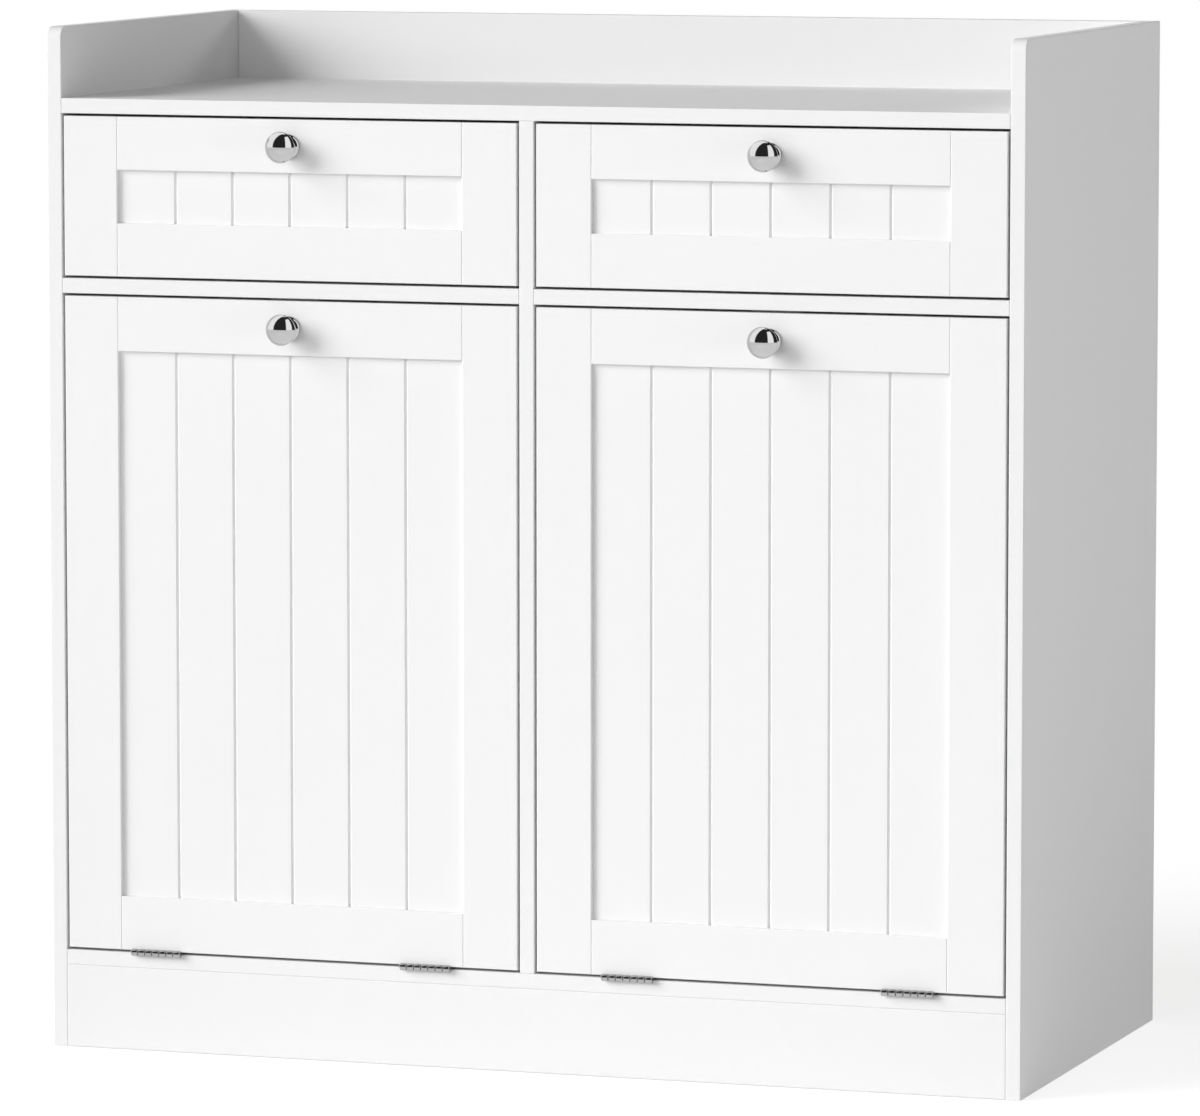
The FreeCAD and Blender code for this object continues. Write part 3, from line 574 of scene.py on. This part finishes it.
def turned(name, points, steps):
    """Solid of revolution about the Y axis from points of radius and reach towards the front."""
    deselect_all()
    bpy.ops.mesh.primitive_plane_add(size=MM)
    piece = bpy.context.object
    piece.name = name
    edit(piece)
    bpy.ops.mesh.select_all(action="SELECT")
    bpy.ops.mesh.merge(type="CENTER")
    place = Vector((points[0][0], -points[0][1], 0))
    bpy.ops.transform.translate(value=place)
    for radius, reach in points[1:]:
        target = Vector((radius, -reach, 0))
        bpy.ops.mesh.extrude_vertices_move(TRANSFORM_OT_translate={"value": target - place})
        place = target
    bpy.ops.mesh.select_all(action="SELECT")
    bpy.ops.mesh.spin(steps=steps, angle=FULL_TURN, center=(0, 0, 0), axis=(0, 1, 0))
    tidy_normals(piece)
    return piece


# Knobs
def knob_profile(knob):
    """Radius and reach along the knob, from the middle of its foot to the tip of its crown."""
    rim = knob.projection - knob.crown
    throat = Vector((knob.neck / 2, rim - knob.under))
    ease = knob.edge / 2
    foot = [(0, 0), (knob.foot / 2, 0), (knob.foot / 2, knob.foot_edge - ease)]
    foot += arc_points(foot[-1], (knob.foot / 2 - ease, knob.foot_edge), ease, bulge=1, count=4)
    neck = arc_points(foot[-1], throat, throat.y - knob.foot_edge, bulge=-1, count=14)
    crown_radius = ((knob.head / 2) ** 2 + knob.crown ** 2) / (2 * knob.crown)
    crown_centre = Vector((0, knob.projection - crown_radius))
    along = (Vector((knob.head / 2, rim)) - throat).normalized()
    inwards = Vector((-along.y, along.x))
    start = throat + inwards * knob.edge - crown_centre
    lead = start.dot(along)
    reach = math.sqrt(lead ** 2 - start.length_squared + (crown_radius - knob.edge) ** 2) - lead
    lip_centre = start + along * reach
    under = crown_centre + lip_centre - inwards * knob.edge
    shoulder = crown_centre + lip_centre.normalized() * crown_radius
    lip = arc_points(under, shoulder, knob.edge, bulge=1, count=10)
    crown = arc_points(shoulder, (0, knob.projection), crown_radius, bulge=1, count=28)
    return foot + neck + [tuple(under)] + lip + crown


class CABINET_OT_knobs(bpy.types.Operator):
    """Turn the chrome knobs and set them on the drawers and doors"""
    bl_idname = "cabinet.knobs"
    bl_label = "Knobs"

    def execute(self, context):
        knob = context.scene.cabinet_knob
        pattern = turned("knob_pattern", knob_profile(knob), knob.steps)
        for side in SIDES:
            for kind in FRONTS:
                node = f"{side}_{kind}_knob"
                low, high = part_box(node)
                middle = (low + high) / 2
                place = Matrix.Translation((middle.x, high.y, middle.z))
                piece = copy_of(pattern, f"{side}_{kind}_chrome_knob", place)
                fit(piece, f"{side}_{kind}", "chrome")
                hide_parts(node)
        bpy.data.objects.remove(pattern)
        return {"FINISHED"}


# Laundry bags
class BagSpace:
    """Room for one laundry bag: the box of its node in the frame and the slope of its rim."""

    def __init__(self, side):
        node = f"{side}_hamper_bag"
        self.low, self.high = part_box(node)
        self.centre, self.half = (self.low + self.high) / 2, (self.high - self.low) / 2
        corners = (corner.co for corner in frame["nodes"][node].data.vertices)
        rear = max(corner.z for corner in corners if corner.y > self.high.y - MM)
        self.slope = (self.high.z - rear) / (self.high.y - self.low.y)

    def rim(self, y):
        """Height of the rim at one depth."""
        return self.high.z - self.slope * (y - self.low.y)

    def inside(self, place, inset):
        """A place on the walls, brought in by the same inset on all four."""
        across, along = (1 - inset / half for half in self.half[:2])
        return (self.centre.x + (place.x - self.centre.x) * across,
                self.centre.y + (place.y - self.centre.y) * along)


def bag_ring(name, space, bag):
    """Closed loop of edges round the bag with rounded corners, level with the top of its rim."""
    deselect_all()
    bpy.ops.mesh.primitive_plane_add(size=2)
    ring = bpy.context.object
    ring.name = name
    edit(ring)
    bpy.ops.mesh.select_all(action="SELECT")
    bpy.ops.transform.resize(value=(space.half.x, space.half.y, 1))
    bpy.ops.transform.translate(value=(space.centre.x, space.centre.y, space.high.z))
    bpy.ops.mesh.bevel(affect="VERTICES", offset=bag.corner, segments=8, profile=0.5)
    bpy.ops.mesh.select_all(action="SELECT")
    bpy.ops.mesh.delete(type="ONLY_FACE")
    for axis, half in enumerate(space.half[:2]):
        straight = 2 * (half - bag.corner)

        def runs_along(edge):
            first, last = (ring.data.vertices[index].co for index in edge.vertices)
            return abs(abs(last[axis] - first[axis]) - straight) < MM

        select_where(ring, "EDGE", runs_along)
        bpy.ops.mesh.subdivide(number_cuts=round(straight / bag.grid))
    bpy.ops.object.mode_set(mode="OBJECT")
    return ring


def lower_ring(ring, depth, rows):
    """Walls below a ring, in edit mode, with the last row left selected."""
    edit(ring)
    bpy.ops.mesh.select_all(action="SELECT")
    for row in range(rows):
        bpy.ops.mesh.extrude_region_move(TRANSFORM_OT_translate={"value": (0, 0, -depth / rows)})


def bag_shell(name, space, bag, seed):
    """Tub of cloth: walls in rows below a sloping rim, a rounded lower edge and a gridded floor."""
    shell = bag_ring(name, space, bag)
    depth = space.high.z - space.low.z
    lower_ring(shell, depth, round(depth / bag.grid))
    bpy.ops.mesh.fill_grid()
    bpy.ops.mesh.select_all(action="SELECT")
    bpy.ops.mesh.normals_make_consistent(inside=False)
    bpy.ops.object.mode_set(mode="OBJECT")
    floor = space.low.z + bag.clearance + bag.thickness
    hem = shell.vertex_groups.new(name="hem")
    shake = random.Random(seed)
    for point in shell.data.vertices:
        place, rim = point.co.copy(), space.rim(point.co.y)
        drop = (space.high.z - place.z) / depth * (rim - floor)
        above = rim - drop - floor
        inset = bag.clearance + bag.hem_thickness / 2
        if drop < bag.hem:
            hem.add([point.index], 1.0, "REPLACE")
        else:
            inset += bag.room * min(1.0, (drop - bag.hem) / bag.lower_round)
        if above < bag.lower_round:
            below = bag.lower_round - above
            inset += bag.lower_round - math.sqrt(max(0, bag.lower_round ** 2 - below ** 2))
        ripple = shake.uniform(-0.5, 0.5) * MM if drop > bag.hem else 0.0
        point.co = (*space.inside(place, inset + ripple), rim - drop)
    return shell


def sag(shell, space, bag):
    """Let the slack cloth hang from its hem and fold between the boards and slats round it."""
    scene = bpy.context.scene
    deselect_all()
    bpy.ops.mesh.primitive_cube_add(size=2, location=space.centre)
    boards = bpy.context.object
    boards.scale = space.half
    bpy.ops.object.transform_apply(location=True, rotation=True, scale=True)
    edit(boards)
    select_where(boards, "FACE", lambda face: face.normal.z > FACING)
    bpy.ops.mesh.delete(type="FACE")
    bpy.ops.mesh.select_all(action="SELECT")
    bpy.ops.mesh.flip_normals()
    bpy.ops.object.mode_set(mode="OBJECT")
    boards.modifiers.new("Collision", "COLLISION")
    boards.collision.thickness_outer = MM
    activate(shell)
    cloth = shell.modifiers.new("Cloth", "CLOTH")
    cloth.settings.quality = 7
    cloth.settings.mass = 0.3
    cloth.settings.tension_stiffness = cloth.settings.compression_stiffness = 25
    cloth.settings.shear_stiffness = 8
    cloth.settings.bending_stiffness = 0.5
    cloth.settings.vertex_group_mass = "hem"
    cloth.settings.shrink_min = -bag.slack
    cloth.collision_settings.distance_min = MM
    cloth.point_cache.frame_end = bag.frames
    for step in range(1, bag.frames + 1):
        scene.frame_set(step)
    bpy.ops.object.modifier_apply(modifier=cloth.name)
    scene.frame_set(1)
    bpy.data.objects.remove(boards)


def keep_within(shell, space, inset):
    """Flatten the folds that press against the frame."""
    for point in shell.data.vertices:
        for axis in range(3):
            lowest, highest = space.low[axis] + inset, space.high[axis] - inset
            point.co[axis] = min(max(point.co[axis], lowest), highest)


def hem_band(name, space, bag):
    """Folded band sewn over the rim of the bag."""
    fold = bag.hem_thickness * 0.4
    band = bag_ring(name, space, bag)
    lower_ring(band, bag.hem, rows=3)
    bpy.ops.object.mode_set(mode="OBJECT")
    for point in band.data.vertices:
        drop = space.high.z - point.co.z
        point.co = (*space.inside(point.co, bag.clearance), space.rim(point.co.y) - drop)
    tidy_normals(band)
    apply_modifier(band, "SOLIDIFY", thickness=bag.hem_thickness, offset=-1)
    apply_modifier(band, "BEVEL", width=fold, segments=3, limit_method="ANGLE",
                   angle_limit=math.radians(60))
    return band


def stitch_row(name, space, bag, drop):
    """Row of stitches round the inside of the hem, each a thread with tapered ends."""
    tip = bag.stitch * 0.2
    taper = 0.4
    inset = bag.clearance + bag.hem_thickness
    path = bag_ring(f"{name}_path", space, bag)
    for point in path.data.vertices:
        point.co = (*space.inside(point.co, inset), space.rim(point.co.y) - drop)
    activate(path)
    bpy.ops.object.convert(target="CURVE")
    deselect_all()
    bpy.ops.mesh.primitive_cylinder_add(vertices=6, radius=bag.stitch_thick / 2, depth=bag.stitch - 2 * tip,
                                        rotation=(0, math.pi / 2, 0))
    row = bpy.context.object
    row.name = name
    bpy.ops.object.transform_apply(location=True, rotation=True, scale=True)
    for end in (-1, 1):
        edit(row)
        select_where(row, "FACE", lambda face: face.normal.x * end > FACING)
        bpy.ops.mesh.extrude_region_move(TRANSFORM_OT_translate={"value": (end * tip, 0, 0)})
        bpy.ops.transform.resize(value=(1, taper, taper))
    bpy.ops.object.mode_set(mode="OBJECT")
    apply_modifier(row, "ARRAY", fit_type="FIT_CURVE", curve=path, use_relative_offset=False,
                   use_constant_offset=True, constant_offset_displace=(bag.stitch_pitch, 0, 0))
    apply_modifier(row, "CURVE", object=path, deform_axis="POS_X")
    bpy.data.objects.remove(path)
    return row


class CABINET_OT_bags(bpy.types.Operator):
    """Sew the laundry bags and let them sag in their frames behind the doors"""
    bl_idname = "cabinet.bags"
    bl_label = "Laundry bags"

    def execute(self, context):
        bag = context.scene.cabinet_bag
        for seed, side in enumerate(SIDES):
            space = BagSpace(side)
            shell = bag_shell(f"{side}_laundry_bag", space, bag, seed)
            sag(shell, space, bag)
            keep_within(shell, space, bag.clearance + bag.thickness / 2)
            apply_modifier(shell, "SUBSURF", levels=1, render_levels=1)
            apply_modifier(shell, "SOLIDIFY", thickness=bag.thickness, offset=0)
            fit(shell, f"{side}_door", "canvas")
            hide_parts(f"{side}_hamper_bag")
            fit(hem_band(f"{side}_bag_hem", space, bag), f"{side}_door", "canvas")
            margin = bag.hem * 0.14
            for row, drop in enumerate((margin, bag.hem - margin), 1):
                stitches = stitch_row(f"{side}_hem_stitches_{row}", space, bag, drop)
                fit(stitches, f"{side}_door", "canvas", finishes["thread"])
        return {"FINISHED"}


# Hinges
def ease_knuckles(leaves, ease):
    """Round the rims of the knuckles along the pin of a hinge."""
    low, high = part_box("hinge_pins")
    pin = (low + high) / 2
    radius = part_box("hinge_base_leaves")[1].z - pin.z
    tidy_normals(leaves)
    edit(leaves)
    bpy.ops.mesh.select_all(action="SELECT")
    bpy.ops.mesh.dissolve_limited(angle_limit=FLAT_BELOW)

    def on_rim(edge):
        ends = [leaves.data.vertices[index].co - pin for index in edge.vertices]
        across_pin = abs(ends[0].x - ends[1].x) < TOUCHING
        return across_pin and all(abs(end.yz.length - radius) < TOUCHING for end in ends)

    select_where(leaves, "EDGE", on_rim)
    bpy.ops.mesh.bevel(offset=ease, segments=4, affect="EDGES")
    bpy.ops.object.mode_set(mode="OBJECT")


class CABINET_OT_hinges(bpy.types.Operator):
    """Ease the rolled knuckles of the butt hinges under the doors"""
    bl_idname = "cabinet.hinges"
    bl_label = "Hinges"

    def execute(self, context):
        bodies = {"hinge_base_leaves": "cabinet"}
        bodies.update({f"{side}_door_hinge_leaves": f"{side}_door" for side in SIDES})
        for node, body in bodies.items():
            piece = copy_of(frame["nodes"][node], node.replace("hinge", "rolled_hinge"), Matrix())
            ease_knuckles(piece, context.scene.cabinet_fastener.knuckle_edge)
            fit(piece, body, "hinge_steel")
            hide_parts(node)
        return {"FINISHED"}


# Small fasteners
def seat(place, direction):
    """Matrix that sets a turned piece on a place, with its tip in a direction."""
    turn = Vector((0, -1, 0)).rotation_difference(Vector(direction))
    return Matrix.Translation(place) @ turn.to_matrix().to_4x4()


def spaced(first, last, spacing):
    """Even places from first to last, about a spacing apart."""
    count = max(1, round(abs(last - first) / spacing))
    return [first + (last - first) * step / count for step in range(count + 1)]


def flat_head(name, diameter, proud, steps=32):
    """Flat round head with an eased edge, sunk a little into the board under it."""
    radius, ease = diameter / 2, proud * 0.6
    points = [(0, -proud), (radius, -proud), (radius, proud - ease)]
    points += arc_points(points[-1], (radius - ease, proud), ease, bulge=1, count=3)
    return turned(name, points + [(0, proud)], steps)


def cut_cross(head, reach, proud):
    """Cross slot in the tip of a head."""
    narrow, deep = reach * 0.24, proud * 1.4
    for across, upward in ((reach, narrow), (narrow, reach)):
        deselect_all()
        bpy.ops.mesh.primitive_cube_add(size=1, location=(0, -proud, 0))
        cutter = bpy.context.object
        cutter.scale = (across, deep, upward)
        bpy.ops.object.transform_apply(location=True, rotation=True, scale=True)
        apply_modifier(head, "BOOLEAN", object=cutter, operation="DIFFERENCE", solver="EXACT")
        bpy.data.objects.remove(cutter)


class CABINET_OT_nails(bpy.types.Operator):
    """Nail the hardboard back to the edges, divider and mid shelves"""
    bl_idname = "cabinet.nails"
    bl_label = "Back nails"

    def execute(self, context):
        nail = context.scene.cabinet_fastener
        radius = nail.nail / 2
        crown = (radius ** 2 + nail.proud ** 2) / (2 * nail.proud)
        points = [(0, -nail.proud), (radius, -nail.proud), (radius, 0)]
        points += arc_points(points[-1], (0, nail.proud), crown, bulge=1, count=4)
        for side in SIDES:
            low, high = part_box(f"{side}_back_panel")
            shelf_low, shelf_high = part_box(f"{side}_mid_shelf")
            left, right = low.x + nail.nail_inset, high.x - nail.nail_inset
            bottom, top = low.z + nail.nail_inset, high.z - nail.nail_inset
            places = [(x, z) for x in (left, right) for z in spaced(bottom, top, nail.nail_spacing)]
            for z in (bottom, (shelf_low.z + shelf_high.z) / 2, top):
                places += [(x, z) for x in spaced(left, right, nail.nail_spacing)[1:-1]]
            pattern = turned("nail_pattern", points, steps=14)
            heads = join_copies(pattern, f"{side}_back_nails",
                                [seat((x, high.y, z), (0, 1, 0)) for x, z in places])
            fit(heads, "cabinet", "zinc_steel")
        return {"FINISHED"}


class CABINET_OT_screws(bpy.types.Operator):
    """Screw the hamper side boards to their rails and slats"""
    bl_idname = "cabinet.screws"
    bl_label = "Hamper screws"

    def execute(self, context):
        screw = context.scene.cabinet_fastener
        for side in SIDES:
            places = []
            for rail in ("front_rail", "rear_rail"):
                low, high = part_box(f"{side}_hamper_{rail}")
                ends = (low.z + screw.screw_inset, high.z - screw.screw_inset)
                places += [((low.y + high.y) / 2, z) for z in ends]
            low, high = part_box(f"{side}_hamper_base_slats")
            ends = (low.y + screw.screw_inset, high.y - screw.screw_inset)
            places += [(y, (low.z + high.z) / 2) for y in ends]
            low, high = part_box(f"{side}_hamper_side_boards")
            pattern = flat_head("screw_pattern", screw.screw, screw.proud)
            cut_cross(pattern, screw.screw_slot, screw.proud)
            heads = join_copies(pattern, f"{side}_hamper_screws",
                                [seat((x, y, z), (turn, 0, 0)) for y, z in places
                                 for x, turn in ((low.x, -1), (high.x, 1))])
            fit(heads, f"{side}_door", "zinc_steel")
        return {"FINISHED"}


class CABINET_OT_cam_locks(bpy.types.Operator):
    """Set the cam locks that hold each drawer front to its sides"""
    bl_idname = "cabinet.cam_locks"
    bl_label = "Cam locks"

    def execute(self, context):
        cam = context.scene.cabinet_fastener
        for side in SIDES:
            low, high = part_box(f"{side}_drawer_box_sides")
            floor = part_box(f"{side}_drawer_box_bottom")[1].z
            inner_left, inner_right = (corner.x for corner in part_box(f"{side}_drawer_box_back"))
            pattern = flat_head("cam_pattern", cam.cam, cam.proud, steps=40)
            cut_cross(pattern, cam.cam_slot, cam.proud)
            heights = [floor + (high.z - floor) * share for share in (0.25, 0.75)]
            heads = join_copies(pattern, f"{side}_drawer_cam_locks",
                                [seat((x, low.y + cam.cam_setback, z), (turn, 0, 0)) for z in heights
                                 for x, turn in ((inner_left, 1), (inner_right, -1))])
            fit(heads, f"{side}_drawer", "zinc_steel")
        return {"FINISHED"}


class CABINET_OT_studs(bpy.types.Operator):
    """Press studs that hold the hem of each bag to its frame"""
    bl_idname = "cabinet.studs"
    bl_label = "Bag studs"

    def execute(self, context):
        bag, stud = context.scene.cabinet_bag, context.scene.cabinet_fastener
        radius, flange = stud.stud / 2, stud.proud
        cap, top = radius * 0.62, flange * 3
        dimple, dip = cap * 0.4, flange * 0.6
        groove = flange * 0.4
        points = [(0, -flange), (radius, -flange), (radius, 0)]
        points += arc_points(points[-1], (radius - flange, flange), flange, bulge=1, count=4)
        points += [(cap + flange, flange), (cap, groove), (cap, top - flange)]
        points += arc_points(points[-1], (cap - flange, top), flange, bulge=1, count=4)
        points += [(dimple, top), (0, top - dip)]
        for side in SIDES:
            space = BagSpace(side)
            pattern = turned("stud_pattern", points, steps=32)
            seats = []
            for facing in (Vector((0, 1, 0)), Vector((0, -1, 0)), Vector((1, 0, 0)), Vector((-1, 0, 0))):
                along = Vector((facing.y, facing.x, 0))
                for share in (-0.5, 0.5):
                    place = space.centre.copy()
                    for axis in range(2):
                        reach = space.half[axis] - bag.clearance - bag.hem_thickness
                        place[axis] += reach * -facing[axis] + space.half[axis] * along[axis] * share
                    place.z = space.rim(place.y) - bag.hem / 2
                    seats.append(seat(place, facing))
            fit(join_copies(pattern, f"{side}_bag_studs", seats), f"{side}_door", "hinge_steel")
        return {"FINISHED"}


# Carried-over boards and hardware
class CABINET_OT_finishes(bpy.types.Operator):
    """Make every finish and give it to the boards and hardware of its slot"""
    bl_idname = "cabinet.finishes"
    bl_label = "Finishes"

    def execute(self, context):
        finishes.update(make_finishes(context.scene))
        for part in frame["record"]["subparts"]:
            materials = frame["nodes"][part["node"]].data.materials
            materials.clear()
            materials.append(finishes[part["material_slot"]])
        return {"FINISHED"}


# Stage
def studio_world(stage):
    """Even soft light. To the eye the background is white; metal sees a white backdrop behind the cabinet,
    a lamp overhead and, in the dark room in front, two tall soft boxes."""
    left_box, right_box = (-115, -50), (30, 65)
    dark, bright = 0.04, 1.8
    world = bpy.data.worlds.new("studio")
    world.use_nodes = True
    bpy.context.scene.world = world
    nodes = Nodes(world.node_tree)
    ray = nodes.add("ShaderNodeLightPath")
    direct = ray.out("Is Camera Ray")
    seen = direct.math("MAXIMUM", direct, ray.out("Is Transmission Ray"))
    mirrored = ray.out("Is Glossy Ray")
    x, y, z = nodes.axes(nodes.add("ShaderNodeTexCoord", output="Generated"))
    azimuth = x.math("ARCTAN2", x, -y)

    def soft_box(*degrees):
        edge = math.radians(2)
        first, last = (math.radians(side) for side in degrees)
        return azimuth.rise(first - edge, first + edge) * (1 - azimuth.rise(last - edge, last + edge))

    under_top = 1 - z.rise(0.88, 0.92)
    boxes = soft_box(*left_box) + soft_box(*right_box) * under_top
    overhead, backdrop = z.rise(0.985, 0.995), y.rise(0.3, 0.5)
    room = dark + bright * boxes + overhead + backdrop
    light = seen + (1 - seen) * (stage.ambient + mirrored * (room - stage.ambient))
    background = nodes.add("ShaderNodeBackground", None, {"Strength": light})
    nodes.add("ShaderNodeOutputWorld", None, {"Surface": background})


def white_floor(stage):
    """Pale floor that is white to the eye and still takes the cabinet's shadow."""
    material = bpy.data.materials.new("studio_floor")
    material.use_nodes = True
    nodes = Nodes(material.node_tree)
    ray = nodes.add("ShaderNodeLightPath")
    direct = ray.out("Is Camera Ray")
    seen = direct.math("MAXIMUM", direct.math("MAXIMUM", direct, ray.out("Is Glossy Ray")),
                       ray.out("Is Transmission Ray"))
    faint = scaled(stage.floor, stage.floor_shade)
    matt = nodes.add("ShaderNodeBsdfDiffuse", None, {"Color": nodes.mix(seen, opaque(stage.floor), faint)})
    glow = nodes.add("ShaderNodeEmission", None, {"Strength": seen * stage.floor_glow})
    both = nodes.add("ShaderNodeAddShader", None, {0: matt, 1: glow})
    nodes.add("ShaderNodeOutputMaterial", None, {"Surface": both})
    return material


def far_lamp(name, azimuth, elevation, strength, softness):
    """Distant soft lamp, turned to the right of straight on, which metal doesn't mirror."""
    level = math.cos(elevation)
    towards = Vector((math.sin(azimuth) * level, -math.cos(azimuth) * level, math.sin(elevation)))
    bpy.ops.object.light_add(type="SUN", location=towards,
                             rotation=towards.to_track_quat("Z", "Y").to_euler())
    lamp = bpy.context.object
    lamp.name = name
    lamp.data.energy = strength
    lamp.data.angle = softness
    lamp.visible_glossy = False


def near_lamp(name, place, aim, power, width, height):
    """Soft rectangular lamp, aimed at a point, which metal doesn't mirror."""
    towards = Vector(aim) - Vector(place)
    bpy.ops.object.light_add(type="AREA", location=place,
                             rotation=towards.to_track_quat("-Z", "Y").to_euler())
    lamp = bpy.context.object
    lamp.name = name
    lamp.data.shape = "RECTANGLE"
    lamp.data.size, lamp.data.size_y = width, height
    lamp.data.energy = power
    lamp.visible_glossy = False


class CABINET_OT_stage(bpy.types.Operator):
    """Floor, soft studio light and the camera"""
    bl_idname = "cabinet.stage"
    bl_label = "Stage"

    def execute(self, context):
        scene, stage = context.scene, context.scene.cabinet_stage
        scene.view_settings.view_transform = "Standard"
        deselect_all()
        bpy.ops.mesh.primitive_plane_add(size=stage.floor_size, location=(0, 0, -stage.floor_drop))
        floor = bpy.context.object
        floor.name = "studio_floor"
        floor.data.materials.append(white_floor(stage))
        studio_world(stage)
        far_lamp("key_light", -stage.key_azimuth, stage.key_elevation, stage.key, stage.key_softness)
        far_lamp("rim_light", stage.rim_azimuth, stage.rim_elevation, stage.rim, stage.rim_softness)
        low, high = CAD_BOX
        middle = (low + high) / 2
        near_lamp("front_lamp", stage.front_place, (middle.x, low.y, middle.z), stage.front,
                  stage.front_width, stage.front_height)
        near_lamp("bounce_card", stage.card_place, (high.x, 0, stage.card_place[2]), stage.card,
                  stage.card_width, stage.card_height)
        bpy.ops.object.camera_add(location=stage.camera,
                                  rotation=(math.pi / 2 - stage.pitch, 0, stage.yaw))
        camera = bpy.context.object
        camera.data.lens = stage.lens
        scene.camera = camera
        return {"FINISHED"}


class CABINET_PT_panel(bpy.types.Panel):
    """Sidebar panel with the steps that dress the cabinet"""
    bl_idname = "CABINET_PT_panel"
    bl_label = "Laundry cabinet"
    bl_space_type = "VIEW_3D"
    bl_region_type = "UI"
    bl_category = "Cabinet"

    def draw(self, context):
        for step in STEPS:
            self.layout.operator(step.bl_idname)
        for name in SETTINGS:
            box = self.layout.box()
            group = getattr(context.scene, name)
            for prop in group.bl_rna.properties:
                if prop.identifier not in {"rna_type", "name"}:
                    box.prop(group, prop.identifier)


STEPS = (CABINET_OT_finishes, CABINET_OT_knobs, CABINET_OT_hinges, CABINET_OT_bags, CABINET_OT_studs,
         CABINET_OT_screws, CABINET_OT_cam_locks, CABINET_OT_nails, CABINET_OT_stage)
SETTINGS = {"cabinet_paint": PaintSettings, "cabinet_metal": MetalSettings, "cabinet_knob": KnobSettings,
            "cabinet_bag": BagSettings, "cabinet_fastener": FastenerSettings, "cabinet_stage": StageSettings}


def register():
    for name, group in SETTINGS.items():
        bpy.utils.register_class(group)
        setattr(bpy.types.Scene, name, PointerProperty(type=group))
    for step in STEPS:
        bpy.utils.register_class(step)
    bpy.utils.register_class(CABINET_PT_panel)


def unregister():
    bpy.utils.unregister_class(CABINET_PT_panel)
    for step in STEPS:
        bpy.utils.unregister_class(step)
    for name, group in SETTINGS.items():
        delattr(bpy.types.Scene, name)
        bpy.utils.unregister_class(group)


def main():
    register()
    bpy.ops.cabinet.finishes()
    bpy.ops.cabinet.knobs()
    bpy.ops.cabinet.hinges()
    bpy.ops.cabinet.bags()
    bpy.ops.cabinet.studs()
    bpy.ops.cabinet.screws()
    bpy.ops.cabinet.cam_locks()
    bpy.ops.cabinet.nails()
    bpy.ops.cabinet.stage()


if __name__ == "__main__":
    main()
